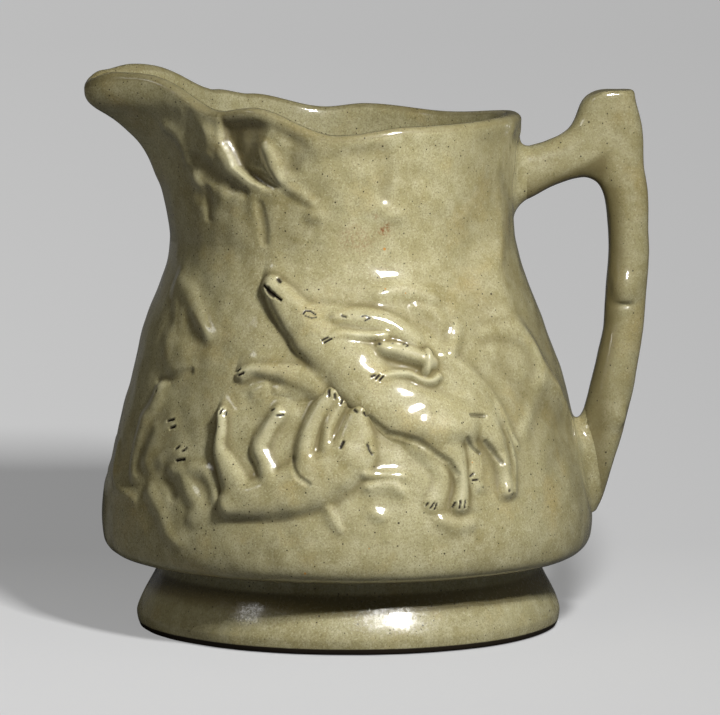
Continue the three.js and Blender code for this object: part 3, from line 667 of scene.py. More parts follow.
# Meshes

def grid_quads(rows, columns, closed=False, turned=False):
    """Faces over a grid of points, closed round its columns, round its rows, or open."""
    index = np.arange(rows * columns).reshape(rows, columns)
    if closed:
        index = np.hstack([index, index[:, :1]])
    if turned:
        index = np.vstack([index, index[:1]])
    return np.stack([index[:-1, :-1], index[:-1, 1:], index[1:, 1:], index[1:, :-1]], -1).reshape(-1, 4)


def facing_out(points, quads):
    """Turns the faces of a closed surface to the outside."""
    a, b, c, d = (points[quads[:, i]] for i in range(4))
    volume = np.sum(np.cross(b - a, c - a) * a) + np.sum(np.cross(c - a, d - a) * a)
    return quads if volume > 0 else quads[:, ::-1]


def new_piece(node, slot, points, quads, ends=(), values=None):
    """Smooth piece that takes the place of a solid. Its ends are closed with flat faces."""
    name = node + "_fine"
    mesh = bpy.data.meshes.new(name)
    corners = np.concatenate([quads.ravel(), *ends]).astype(np.int32)
    sizes = np.array([4] * len(quads) + [len(end) for end in ends])
    mesh.vertices.add(len(points))
    mesh.vertices.foreach_set("co", (points * MM).astype(np.float32).ravel())
    mesh.loops.add(len(corners))
    mesh.loops.foreach_set("vertex_index", corners)
    mesh.polygons.add(len(sizes))
    mesh.polygons.foreach_set("loop_start", (np.cumsum(sizes) - sizes).astype(np.int32))
    mesh.update(calc_edges=True)
    mesh.shade_smooth()
    if ends:
        sharpen_ends(mesh, ends)
    for label, numbers in (values or {}).items():
        attribute = mesh.attributes.new(label, "FLOAT", "POINT")
        attribute.data.foreach_set("value", numbers.astype(np.float32).ravel())
    piece = bpy.data.objects.new(name, mesh)
    bpy.context.scene.collection.objects.link(piece)
    mesh.materials.append(MATERIALS[slot])
    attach(piece, "root")
    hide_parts(node)
    return piece


def sharpen_ends(mesh, ends):
    """Keeps the flat ends from bending the shading of the skin."""
    edges = np.zeros(len(mesh.edges) * 2, np.int32)
    mesh.edges.foreach_get("vertices", edges)
    edges = edges.reshape(-1, 2)
    sharp = np.zeros(len(edges), bool)
    for end in ends:
        sharp |= np.isin(edges, end).all(axis=1)
    mesh.attributes.new("sharp_edge", "BOOLEAN", "EDGE").data.foreach_set("value", sharp)


def relax(points, quads, passes):
    """Evens out a skin by moving each point towards its neighbours."""
    pairs = np.vstack([quads[:, [corner, (corner + 1) % 4]] for corner in range(4)])
    count = np.bincount(pairs[:, 0], minlength=len(points))[:, None]
    for _ in range(passes):
        sums = [np.bincount(pairs[:, 0], points[pairs[:, 1], axis], len(points)) for axis in range(3)]
        points = points + 0.5 * (np.stack(sums, -1) / np.maximum(count, 1) - points)
    return points


def skin_of_field(field, low, cell):
    """Skin where a grid of distances is zero, with one point in each cell that it crosses."""
    shape = np.array(field.shape)
    total = np.zeros((*(shape - 1), 3))
    count = np.zeros(shape - 1)
    faces = []
    for axis in range(3):
        first = field.take(range(shape[axis] - 1), axis)
        second = field.take(range(1, shape[axis]), axis)
        crossed = (first < 0) != (second < 0)
        start, end = first[crossed], second[crossed]
        where = np.argwhere(crossed)
        spot = where.astype(float)
        spot[:, axis] += start / (start - end)
        corners = []
        for shift in ((1, 1), (0, 1), (0, 0), (1, 0)):
            cells = where.copy()
            cells[:, [(axis + 1) % 3, (axis + 2) % 3]] -= shift
            cells = tuple(cells.T)
            np.add.at(total, cells, spot)
            np.add.at(count, cells, 1)
            corners.append(np.ravel_multi_index(cells, count.shape, mode="wrap"))
        around = np.stack(corners, -1)
        outwards = start < 0
        faces.append(np.where(outwards[:, None], around, around[:, ::-1]))
    used = count.ravel() > 0
    number = np.cumsum(used) - 1
    quads = number[np.vstack(faces)]
    points = np.array(low) + cell * total.reshape(-1, 3)[used] / count.ravel()[used][:, None]
    return relax(points, quads, RELAX_PASSES), quads


# Pieces of the body

def half_heights(bearing, side):
    """Heights of the wall rows from the foot up to the lip, one column for each bearing."""
    under_belly = bezier(UNDER_BELLY, UNDER_BELLY_ROWS)[:-1, 1]
    upper_body = bezier(UPPER_BODY, BODY_ROWS)[:, 1]
    lower = np.concatenate([under_belly, upper_body])
    climb = np.linspace(0, 1, NECK_ROWS + 1)[1:, None]
    upper = NECK_HEIGHT + climb * below_lip(bearing, NECK_HEIGHT, side)
    return np.vstack([np.repeat(lower[:, None], len(bearing), axis=1), upper])


def lip_rows(outer_edge, inner_edge, rise):
    """Rounded lip from the outer to the inner edge of the wall."""
    rows = []
    for angle in np.linspace(0, math.pi, LIP_ROWS + 2)[1:-1]:
        across = math.copysign(abs(math.cos(angle)) ** LIP_SQUARENESS, math.cos(angle))
        lift = math.sin(angle) ** LIP_SQUARENESS
        middle = (outer_edge + inner_edge) / 2
        rows.append(middle + (outer_edge - inner_edge) / 2 * across + rise * lift)
    return np.stack(rows)


def inner_wall(bearing, height, side):
    point = wall_point(bearing, height, side)
    thickness = WALL + unevenness(point, INNER_WAVES) + lip_roll(below_lip(bearing, height, side))
    return point - wall_normal(bearing, height, side) * thickness[..., None]


def glaze_pool_and_shade(heights, passes):
    """Where thin glaze runs off and gathers, with painted shade in the hollows: below zero on crests,
    above zero in hollows.
    """
    return np.clip((soften(heights, passes) - heights) / POOL_DEPTH, -1, 1)


def darker_towards_handle(middle, height):
    """Darker colour towards the handle."""
    return HANDLE_SIDE_DARKENING * smooth_step(15, 45, middle) * smooth_step(50, 80, height)


def dull_foliage(middle, height):
    """The glaze is duller on the foliage under the spout."""
    foliage = smooth_step(-30, -38, middle) * smooth_step(-75, -60, middle)
    return DULLNESS * smooth_step(174, 184, height) * foliage


def rust_stains(middle, height):
    total = np.zeros(height.shape)
    for bearing, rise, size, strength in RUST_STAINS:
        distance = np.hypot((middle - bearing) * math.radians(NECK_RADIUS), height - rise)
        total += strength * np.exp(-(distance / size) ** 2)
    return np.clip(total, 0, 1)


def wall_values(relief, bearing, height):
    """How the glaze lies on the outside of the wall, with painted shade in its hollows, its recess and its
    groove above the foot, and darker colour towards the handle.
    """
    middle = bearing - SIDE_MIDDLE
    figures = np.maximum.reduce(figure_heights(bearing, height))
    pool_and_shade = glaze_pool_and_shade(relief + figures, WALL_POOL_PASSES)
    # Painted shade in the hollows, the recess and the groove under the belly; darker colour towards the
    # handle
    pool_and_shade += HOLLOW_POOL_AND_SHADE * soft_forms(HOLLOWS, middle, height, HOLLOW_POWER)
    pool_and_shade += RECESS_PAINTED_SHADE * recess(middle, height)
    pool_and_shade += darker_towards_handle(middle, height)
    pool_and_shade += GROOVE_PAINTED_SHADE * (1 - smooth_step(FOOT_HEIGHT, FOOT_HEIGHT + GROOVE_SHADE_RISE, height))
    return {"pool_and_shade": pool_and_shade, "rust": rust_stains(middle, height), "coarse": dull_foliage(middle, height)}


def build_half(side, name):
    bearing = np.linspace(0, 180, BODY_COLUMNS)
    height = half_heights(bearing, side)
    bearings = np.broadcast_to(bearing, height.shape)
    relief = ground_height(bearings, height, side)
    outer = wall_point(bearings, height, side) + wall_normal(bearings, height, side) * relief[..., None]
    pick = np.linspace(len(height) - 1, 0, INNER_ROWS).astype(int)
    inner = inner_wall(bearings[pick], height[pick], side)
    upward = outer[-1] - outer[-2]
    upward /= np.linalg.norm(upward, axis=-1, keepdims=True)
    lip = lip_rows(outer[-1], inner[0], upward * lip_height(bearing)[:, None])
    shell = np.concatenate([outer, lip, inner])
    shell[:, [0, -1], 1] = 0
    rows = len(shell)
    points = shell.transpose(1, 0, 2).reshape(-1, 3)
    quads = facing_out(points, grid_quads(BODY_COLUMNS, rows, closed=True))
    first = np.arange(rows)
    last = first + rows * (BODY_COLUMNS - 1)
    ends = (first, last[::-1]) if side == LEFT else (first[::-1], last)
    values = {}
    for label, numbers in wall_values(relief, bearings, height).items():
        # The lip rows carry painted shade.
        edge = np.full((LIP_ROWS, BODY_COLUMNS), LIP_PAINTED_SHADE if label == "pool_and_shade" else 0)
        values[label] = np.vstack([numbers, edge, np.zeros((INNER_ROWS, BODY_COLUMNS))]).T
    new_piece(name, "glaze", points, quads, ends, values)


def patch_grid(strokes, side):
    """Fine grid of bearings and heights over a figure, between the foot and the lip."""
    reach = np.vstack([np.array(points) for _, _, points in strokes])
    margin = PATCH_MARGIN + reach[:, 2].max()
    lowest = max(reach[:, 1].min() - margin, FOOT_HEIGHT + 4)
    heights = np.arange(lowest, reach[:, 1].max() + margin, PATCH_CELL)
    radius = body_radius(heights.mean())
    sweep = math.degrees(margin / radius)
    first = max(reach[:, 0].min() + SIDE_MIDDLE - sweep, 1)
    last = reach[:, 0].max() + SIDE_MIDDLE + sweep
    bearings = np.arange(first, last, math.degrees(PATCH_CELL / radius))
    bearing, height = np.meshgrid(bearings, heights)
    return bearing, np.minimum(height, below_lip(bearing, 1, side))


def build_sprig(strokes, marks, run_out, softness, side, node):
    """One relief figure, fine enough for its claws and eyes, bedded on the wall."""
    bearing, height = patch_grid(strokes, side)
    middle = bearing - SIDE_MIDDLE
    standing = soften(eased(raised(stroke_heights(strokes, middle, height)), run_out), softness)
    base = wall_point(bearing, height, side)
    standing = standing + unevenness(base, FIGURE_WAVES) * smooth_step(0.4, 2.4, standing)
    depth, iron_and_shade = mark_depths(marks, middle, height)
    standing = standing - SINK - depth * smooth_step(0.1, 0.6, standing)
    near = standing > -SINK * 0.8
    kept = near[:-1, :-1] & near[1:, 1:] & near[:-1, 1:] & near[1:, :-1]
    ground = ground_height(bearing, height, side)
    normal = wall_normal(bearing, height, side)
    front = base + normal * (ground + standing)[..., None]
    back = base + normal * (ground - BACK_OF_FIGURE)[..., None]
    points, quads = bedded_patch(front, back, kept)
    figures = np.maximum.reduce(figure_heights(bearing, height))
    # Pooled glaze with painted shade in the hollows; the dark share holds iron in the cut marks and
    # painted shade in the creases.
    shown = {
        "pool_and_shade": glaze_pool_and_shade(ground + figures, FIGURE_POOL_PASSES) + darker_towards_handle(middle, height),
        "iron_and_shade": iron_and_shade * smooth_step(0.1, 0.6, standing + depth),
        "coarse": dull_foliage(middle, height),
    }
    values = {label: np.tile(numbers.ravel(), 2) for label, numbers in shown.items()}
    points, quads, values = drop_unused(points, quads, values)
    new_piece(node, "glaze", points, facing_out(points, quads), values=values)


def bedded_patch(front, back, kept):
    """Closed patch over the kept cells of a grid, between its front and its back."""
    rows, columns = front.shape[:2]
    behind = rows * columns
    cells = grid_quads(rows, columns)[kept.ravel()]
    sides = np.vstack([cells[:, [i, (i + 1) % 4]] for i in range(4)])
    code = sides[:, 0] * behind + sides[:, 1]
    reverse = sides[:, 1] * behind + sides[:, 0]
    border = sides[~np.isin(code, reverse)]
    walls = np.stack([border[:, 1], border[:, 0], border[:, 0] + behind, border[:, 1] + behind], -1)
    points = np.concatenate([front.reshape(-1, 3), back.reshape(-1, 3)])
    return points, np.vstack([cells, cells[:, ::-1] + behind, walls])


def drop_unused(points, quads, values):
    used, compact = np.unique(quads, return_inverse=True)
    kept_values = {label: numbers[used] for label, numbers in values.items()}
    return points[used], compact.reshape(-1, 4), kept_values


# Turned pieces

def build_turned(name, slot, profile, wobble, values=None):
    """Turned piece from a closed profile of radius and height."""
    profile = np.array(profile, float)
    angle = np.linspace(0, 2 * math.pi, LATHE_COLUMNS, endpoint=False)[:, None]
    radius, height = profile[:, 0][None], profile[:, 1][None]
    shell = np.stack(np.broadcast_arrays(radius * np.cos(angle), radius * np.sin(angle), height), -1)
    swing = wobble * unevenness(shell, TURNED_WAVES)
    shell[..., 0] += swing * np.cos(angle)
    shell[..., 1] += swing * np.sin(angle)
    points = shell.reshape(-1, 3)
    quads = grid_quads(LATHE_COLUMNS, len(profile), closed=True, turned=True)
    spread = {label: np.tile(numbers, LATHE_COLUMNS) for label, numbers in (values or {}).items()}
    new_piece(name, slot, points, facing_out(points, quads), values=spread)


def foot_profile():
    flank = bezier([
        (GROOVE_RADIUS, FOOT_HEIGHT),
        (GROOVE_RADIUS + 0.3, FOOT_HEIGHT - FOOT_PULL),
        (FOOT_RADIUS - 1.1, FOOT_EDGE_HEIGHT + FOOT_PULL),
        (FOOT_RADIUS, FOOT_EDGE_HEIGHT),
    ], FOOT_FLANK_ROWS)
    angle = np.linspace(0, -math.pi / 2, FOOT_EDGE_ROWS)[1:]
    edge = np.stack([FOOT_RADIUS - FOOT_EDGE_INSET * (1 - np.cos(angle)),
                     FOOT_EDGE_HEIGHT * (1 + np.sin(angle))], -1)
    under = [(FOOT_RADIUS - FOOT_EDGE_INSET - 3, 0), (FOOT_BORE + 1, 0), (FOOT_BORE, 0.8)]
    lap = FOOT_HEIGHT + FOOT_LAP
    top = [(FOOT_BORE, lap - 0.8), (FOOT_BORE + 0.8, lap), (GROOVE_RADIUS - SLIP_GAP, lap)]
    return np.vstack([flank, edge, under, top])


def build_foot():
    profile = foot_profile()
    height = profile[:, 1]
    # Dark band on the flank under the belly: painted shade of the belly's shadow, with some pooled glaze.
    pool_and_shade = smooth_step(FOOT_HEIGHT - 15, FOOT_HEIGHT - 9, height)
    pool_and_shade = pool_and_shade * (1 - smooth_step(FOOT_HEIGHT - 6, FOOT_HEIGHT - 4, height))
    # Dark band round the bottom edge: painted contact shadow.
    iron_and_shade = 1 - smooth_step(FOOT_CONTACT_SHADE, FOOT_CONTACT_SHADE + 0.5, height)
    values = {"pool_and_shade": pool_and_shade, "iron_and_shade": iron_and_shade, "coarse": np.ones_like(height)}
    build_turned("foot_ring", "glaze", profile, FOOT_WOBBLE, values)


def build_floor():
    radius = FOOT_BORE - SLIP_GAP
    top = FLOOR_THICKNESS
    reach = np.linspace(1, 0, FLOOR_RINGS)[:, None] * (radius - 1)
    rings = np.hstack([reach, top - 0.5 + 0.25 * np.cos(reach * 0.9)])
    under = [(0.01, 0), (radius - 1, 0), (radius, 1), (radius, top - 1)]
    profile = np.vstack([under, rings[:-1], [(0.01, top - 0.4)]])
    build_turned("floor_disc", "bare_clay", profile, FLOOR_WOBBLE)


def build_floor_coil():
    radius = FOOT_BORE - SLIP_GAP
    floor = FLOOR_THICKNESS - FLOOR_COIL_SINK
    top = floor + FLOOR_COIL + FLOOR_COIL_EDGE
    angle = np.linspace(-math.pi / 2, 0, FLOOR_COIL_ROWS)
    hollow = np.stack([radius - FLOOR_COIL + FLOOR_COIL * np.cos(angle) - FLOOR_COIL_EDGE,
                       top + FLOOR_COIL * np.sin(angle)], -1)
    profile = np.vstack([hollow, [(radius, top), (radius, floor), (radius - FLOOR_COIL, floor)]])
    build_turned("floor_seam_coil", "glaze", profile, FLOOR_COIL_WOBBLE)


def build_seam_coil(name, seam_bearing):
    """Clay roll smoothed over a seam inside the wall, from the belly up to the neck."""
    across = np.linspace(-1, 1, COIL_COLUMNS)
    height = np.linspace(BELLY_HEIGHT + 1, NECK_HEIGHT - 2, COIL_ROWS)[:, None]
    shift = np.degrees(across * COIL_HALF_WIDTH / body_radius(height))
    bearing = np.abs(seam_bearing - np.abs(shift))
    side = np.where(across < 0, LEFT, RIGHT) * np.ones_like(height, int)
    height = np.broadcast_to(height, bearing.shape)
    point = wall_point(bearing, height, side)
    normal = wall_normal(bearing, height, side)
    taper = smooth_step(0, COIL_TAPER, height - height.min())
    taper = taper * smooth_step(0, COIL_TAPER, height.max() - height)
    crown = (COIL_THICKNESS + unevenness(point, COIL_WAVES)) * (1 - across ** 2) * taper - 0.4
    front = point - normal * (WALL + crown)[..., None]
    back = point - normal * (WALL - COIL_BED)
    points, quads = bedded_patch(front, back, np.ones((COIL_ROWS - 1, COIL_COLUMNS - 1), bool))
    new_piece(name, "glaze", points, facing_out(points, quads))


# Handle

def limb_distance(points, stations):
    """Distance to the outline of a limb along stations in the plane of the handle."""
    x, _, z = points
    distance, half_width = nearest_on_path(catmull_rom(stations, POINTS_PER_STATION), x, z, 1)
    return distance - half_width


def ball_distance(points, centre, radii):
    offsets = [(axis - middle) / radius for axis, middle, radius in zip(points, centre, radii)]
    return (np.sqrt(sum(offset * offset for offset in offsets)) - 1) * min(radii)


def branch_distance(points):
    """Distance to the whole branch: stem and arm of rounded section, buds and the notches under them."""
    beyond = smooth_min(limb_distance(points, STEM), limb_distance(points, ARM), FORK_BLEND) + GRIP_EDGE
    aside = np.abs(points[1]) - GRIP_DEPTH + GRIP_EDGE
    outside = np.hypot(np.maximum(beyond, 0), np.maximum(aside, 0))
    branch = outside + np.minimum(np.maximum(beyond, aside), 0) - GRIP_EDGE
    branch = smooth_max(branch, points[2] - SAWN_TOP, SAWN_EDGE)
    slope = math.radians(SAWN_CORNER_SLOPE)
    across, above = points[0] - SAWN_CORNER[0], points[2] - SAWN_CORNER[1]
    corner = above * math.cos(slope) - across * math.sin(slope)
    branch = smooth_max(branch, corner, SAWN_CORNER_EDGE)
    for bud, radii in BUDS:
        branch = smooth_min(branch, ball_distance(points, bud, radii), BUD_BLEND)
    for notch, radii in NOTCHES:
        branch = smooth_max(branch, -ball_distance(points, notch, radii), NOTCH_BLEND)
    return branch + unevenness(np.stack(points, -1), BRANCH_WAVES)


def wall_distance(points):
    """Distance to the outside of the wall, good enough close to it."""
    x, y, z = points
    shifted = -x - wall_lean(z)
    bearing = np.degrees(np.arctan2(np.abs(y), shifted))
    slope = (body_radius(z + 1) - body_radius(z - 1)) / 2
    side = np.where(y < 0, LEFT, RIGHT)
    plain = (np.hypot(shifted, y) - wall_radius(bearing, z, side)) / np.hypot(1, slope)
    return plain - trunk_form(bearing, z) - unevenness(np.stack(points, -1), WALL_WAVES)


def field_grid(low, high, cell):
    axes = [np.arange(start, end, cell) for start, end in zip(low, high)]
    return np.meshgrid(*axes, indexing="ij")


def handle_painted_shade(skin):
    """Painted shade: the handle is a little darker away from the wall."""
    return HANDLE_PAINTED_SHADE * smooth_step(2, 20, wall_distance(skin.T))


def painted_grip_shade(skin):
    """Painted shade along the inside of the grip and under its arm."""
    x, _, z = skin.T
    stem, arm = np.array(STEM[::-1]), np.array(ARM)
    inside = smooth_step(0, -7, x - np.interp(z, stem[:, 1], stem[:, 0])) * smooth_step(186, 172, z)
    under = smooth_step(-3, -9, z - np.interp(x, arm[:, 0], arm[:, 1])) * smooth_step(108, 100, x)
    return np.maximum(inside, under)


def build_handle():
    low, high = HANDLE_BOX
    points = field_grid(low, high, HANDLE_CELL)
    field = np.maximum(branch_distance(points), -(wall_distance(points) + 1))
    skin, quads = skin_of_field(field, low, HANDLE_CELL)
    # Painted shade on the handle.
    pool_and_shade = handle_painted_shade(skin) + GRIP_PAINTED_SHADE * painted_grip_shade(skin)
    new_piece("handle_branch", "glaze", skin, quads, values={"pool_and_shade": pool_and_shade})


def build_collar(name, low, high):
    """Clay worked into the corner between the handle and the wall."""
    points = field_grid(low, high, COLLAR_CELL)
    branch, wall = branch_distance(points), wall_distance(points)
    core = np.maximum(-(branch + 1), -(wall + 1))
    field = np.maximum(smooth_min(branch, wall, COLLAR_BLEND) + COLLAR_SINK, core)
    border = np.ones(field.shape, bool)
    border[1:-1, 1:-1, 1:-1] = False
    field[border] = np.maximum(field[border], 0.01)
    skin, quads = skin_of_field(field, low, COLLAR_CELL)
    # Painted shade away from the wall, as on the handle.
    new_piece(name, "glaze", skin, quads, values={"pool_and_shade": handle_painted_shade(skin)})


# Materials

def feed(tree, socket, value):
    """Links a socket to another one, or sets it to a plain value."""
    if isinstance(value, bpy.types.NodeSocket):
        tree.links.new(value, socket)
    else:
        socket.default_value = value


def add_node(tree, kind, **inputs):
    """Shader node with its inputs set to values or linked to other sockets."""
    node = tree.nodes.new(kind)
    for label, value in inputs.items():
        feed(tree, node.inputs[label.replace("_", " ")], value)
    return node


def noise(tree, place, scale, detail):
    node = add_node(tree, "ShaderNodeTexNoise", Vector=place, Scale=scale, Detail=detail, Roughness=0.6)
    return node.outputs[0]


def remap(tree, value, start, end, low, high):
    limits = {"From_Min": start, "From_Max": end, "To_Min": low, "To_Max": high}
    return add_node(tree, "ShaderNodeMapRange", Value=value, **limits).outputs[0]


def combine(tree, operation, first, second):
    node = tree.nodes.new("ShaderNodeMath")
    node.operation = operation
    feed(tree, node.inputs[0], first)
    feed(tree, node.inputs[1], second)
    return node.outputs[0]


def blend_colours(tree, share, first, second):
    node = tree.nodes.new("ShaderNodeMix")
    node.data_type = "RGBA"
    for index, value in ((0, share), (6, first), (7, second)):
        feed(tree, node.inputs[index], value)
    return node.outputs[2]


def attribute(tree, name):
    node = tree.nodes.new("ShaderNodeAttribute")
    node.attribute_name = name
    return node.outputs["Fac"]


def specks(tree, place, scale, size, share):
    """Dots of uneven size in some of the cells of a random pattern."""
    cells = add_node(tree, "ShaderNodeTexVoronoi", Vector=place, Scale=scale)
    chance = add_node(tree, "ShaderNodeSeparateColor", Color=cells.outputs["Color"])
    limit = combine(tree, "MULTIPLY", remap(tree, chance.outputs["Red"], 1 - share, 1, 0, 1), size)
    inside = combine(tree, "SUBTRACT", limit, cells.outputs["Distance"])
    return remap(tree, inside, 0, size * 0.3, 0, 1)


OLIVE = (0.2, 0.174, 0.081, 1)
KHAKI = (0.264, 0.242, 0.13, 1)
PALE = (0.35, 0.33, 0.208, 1)
OCHRE = (0.28, 0.215, 0.08, 1)
# Dark brown of pooled glaze, also used for painted shade and for the grain of the glaze
POOL_AND_SHADE_BROWN = (0.1, 0.08, 0.032, 1)
# Near black of iron in the cut marks and the clay, also used for painted shade in the creases and the
# painted contact shadow under the foot
IRON_AND_SHADE = (0.014, 0.01, 0.006, 1)
FLECK = (0.04, 0.03, 0.014, 1)
ORANGE = (0.32, 0.15, 0.03, 1)
RUST = (0.15, 0.05, 0.015, 1)
DARK_CLAY = (0.36, 0.3, 0.2, 1)
PALE_CLAY = (0.52, 0.46, 0.33, 1)


# Cloudy layers of the glaze: name, scale and detail of the pattern, its range, strength and colour
GLAZE_LAYERS = [
    ("broad patches", 26, 4, (0.36, 0.66), 1, KHAKI),
    ("clouds", 150, 5, (0.4, 0.7), 0.65, PALE),
    ("warm patches", 48, 3, (0.56, 0.74), 0.5, OCHRE),
    ("mottle", 420, 3, (0.45, 0.7), 0.35, OLIVE),
    ("grain", 1500, 3, (0.46, 0.7), 0.58, POOL_AND_SHADE_BROWN),
    ("sparkle", 1100, 2, (0.55, 0.72), 0.62, PALE),
]
# Specks in the glaze: scale of their pattern, size, share of its cells, and colour
GLAZE_SPECKS = [(120, 0.09, 0.12, ORANGE), (270, 0.15, 0.36, FLECK), (560, 0.23, 0.55, FLECK)]


def glaze_colour(tree, place):
    colour = OLIVE
    for _, scale, detail, limits, strength, tint in GLAZE_LAYERS:
        share = remap(tree, noise(tree, place, scale, detail), *limits, 0, strength)
        colour = blend_colours(tree, share, colour, tint)
    # The glaze-pool attribute darkens hollows with pooled glaze and painted shade, and pales crests where
    # the glaze runs thin.
    pool_and_shade = attribute(tree, "pool_and_shade")
    colour = blend_colours(tree, remap(tree, pool_and_shade, 0.05, 0.9, 0, 0.85), colour, POOL_AND_SHADE_BROWN)
    colour = blend_colours(tree, remap(tree, pool_and_shade, -0.1, -0.9, 0, 0.45), colour, PALE)
    for scale, size, share, tint in GLAZE_SPECKS:
        colour = blend_colours(tree, specks(tree, place, scale, size, share), colour, tint)
    patchy = remap(tree, noise(tree, place, 900, 3), 0.42, 0.6, 0, 1)
    stained = combine(tree, "MULTIPLY", attribute(tree, "rust"), patchy)
    colour = blend_colours(tree, stained, colour, RUST)
    # Near black: iron in the cut marks, painted shade in the creases, painted contact shadow round the
    # foot's bottom edge
    return blend_colours(tree, attribute(tree, "iron_and_shade"), colour, IRON_AND_SHADE)


def glaze_bump(tree, place):
    grain = noise(tree, place, 900, 3)
    ripple = noise(tree, place, 130, 2)
    fine = add_node(tree, "ShaderNodeBump", Strength=0.12, Distance=0.0002, Height=grain)
    wavy = add_node(tree, "ShaderNodeBump", Strength=0.2, Distance=0.0006, Height=ripple,
                    Normal=fine.outputs[0])
    return wavy.outputs[0]


def new_material(name):
    material = bpy.data.materials.new(name)
    material.use_nodes = True
    tree = material.node_tree
    shader = tree.nodes["Principled BSDF"]
    place = tree.nodes.new("ShaderNodeTexCoord").outputs["Object"]
    return material, tree, shader, place


def glaze_material():
    material, tree, shader, place = new_material("salt_glaze")
    tree.links.new(glaze_colour(tree, place), shader.inputs["Base Color"])
    worn = remap(tree, noise(tree, place, 60, 4), 0.4, 0.75, 0.08, 0.16)
    rough = combine(tree, "ADD", worn, combine(tree, "MULTIPLY", attribute(tree, "iron_and_shade"), 0.4))
    crystals = remap(tree, noise(tree, place, 700, 2), 0.4, 0.65, 0.05, 0.22)
    rough = combine(tree, "ADD", rough, combine(tree, "MULTIPLY", attribute(tree, "coarse"), crystals))
    tree.links.new(rough, shader.inputs["Roughness"])
    tree.links.new(glaze_bump(tree, place), shader.inputs["Normal"])
    gloss = combine(tree, "MULTIPLY", combine(tree, "SUBTRACT", 1, attribute(tree, "iron_and_shade")), 0.5)
    tree.links.new(gloss, shader.inputs["Specular IOR Level"])
    shader.inputs["IOR"].default_value = 1.52
    shader.inputs["Coat Weight"].default_value = 0.3
    shader.inputs["Coat Roughness"].default_value = 0.5
    return material


def clay_material():
    material, tree, shader, place = new_material("bare_stoneware")
    tone = remap(tree, noise(tree, place, 70, 5), 0.35, 0.7, 0, 1)
    colour = blend_colours(tree, tone, DARK_CLAY, PALE_CLAY)
    colour = blend_colours(tree, specks(tree, place, 400, 0.22, 0.2), colour, IRON_AND_SHADE)
    tree.links.new(colour, shader.inputs["Base Color"])
    sandy = noise(tree, place, 1200, 4)
    grain = add_node(tree, "ShaderNodeBump", Strength=0.4, Distance=0.0004, Height=sandy)
    tree.links.new(grain.outputs[0], shader.inputs["Normal"])
    shader.inputs["Roughness"].default_value = 0.85
    return material


MATERIALS = {"glaze": glaze_material(), "bare_clay": clay_material()}


# Stage, light and camera

FLOOR_SIZE = 16
FLOOR_LEVEL = -0.0003
WHITE = (1, 1, 1)
WARM = (1, 0.92, 0.7)
JUG_MIDDLE = (0, 0, 0.1)
KEY_PLACE = (0.198, -0.467, 0.453)
KEY_AIM = (-0.04, -0.08, 0.07)
KEY_SPREAD = 96
KEY_LIGHT = 1.92
KEY_SIZE = (0.075, 0.028)
KEY_SPLIT = 0.026
FLOOR_KEY_PLACE = (0.124, -0.463, 0.439)
FLOOR_KEY_LIGHT = 13
FLOOR_KEY_SIZE = (0.075, 0.08)
WORLD_LIGHT = 0.035
# Other lamps on the jug: name, place, aim, size, power, whether the glaze mirrors them, and colour
LAMPS = [
    ("left softbox", (-0.8, -0.34, 0.66), (0, 0, 0.06), (0.2, 0.16), 0.5, True, WHITE),
    ("left panel", (-0.5, 1.6, 0.8), (0, 0, 0.8), (0.9, 1.6), 0.3, True, WHITE),
    ("left fill", (-0.95, -0.85, 0.95), JUG_MIDDLE, (0.4, 0.4), 3, False, WARM),
    ("right softbox", (1.25, -0.45, 0.7), JUG_MIDDLE, (0.4, 0.4), 2, False, WHITE),
    ("back softbox", (0.1, 1.6, 1.2), JUG_MIDDLE, (1.4, 0.8), 12, False, WHITE),
    ("back fill", (-0.3, 1.6, 0.9), JUG_MIDDLE, (0.8, 0.8), 7, False, WHITE),
]
# Tone of the paper floor
KEY_ON_FLOOR = 0.3
FLOOR_TONE = 0.54
NEAR_GLOW = 0.11
FAR_DIMMING = 0.045
SLANT_DIMMING = 0.4
PALEST_PAPER = 0.8
MIRRORED_GLOW = 0.05
MIRRORED_PAPER = 0.22
# Camera
CAMERA_PLACE = (-0.2179, -2.4905, 0.405)
CAMERA_TILT = 83.212
CAMERA_TURN = -5.105
FOCAL_LENGTH = 312.5
SENSOR_WIDTH = 36
VIEW_DISTANCE = 50


def build_stage():
    """Plain pale floor that runs out of the picture, evenly toned round the jug."""
    mesh = bpy.data.meshes.new("floor")
    half = FLOOR_SIZE / 2
    outline = [(-half, -half), (half, -half), (half, half), (-half, half)]
    mesh.from_pydata([(x, y, FLOOR_LEVEL) for x, y in outline], [], [(0, 1, 2, 3)])
    floor = bpy.data.objects.new("floor", mesh)
    bpy.context.scene.collection.objects.link(floor)
    mesh.materials.append(paper_material())
    return floor


def paper_tone(tree, place):
    """Tone of the paper: paler in front of the jug, darker far behind it and towards the right."""
    axes = add_node(tree, "ShaderNodeSeparateXYZ", Vector=place)
    across, depth = axes.outputs["X"], axes.outputs["Y"]
    tone = combine(tree, "ADD", FLOOR_TONE, remap(tree, depth, -0.25, 0.2, NEAR_GLOW, 0))
    tone = combine(tree, "SUBTRACT", tone, remap(tree, depth, 0.2, 3.5, 0, FAR_DIMMING))
    away = combine(tree, "MAXIMUM", combine(tree, "ADD", depth, 2.5), 0.5)
    slant = combine(tree, "DIVIDE", across, away)
    return combine(tree, "SUBTRACT", tone, combine(tree, "MULTIPLY", slant, SLANT_DIMMING))


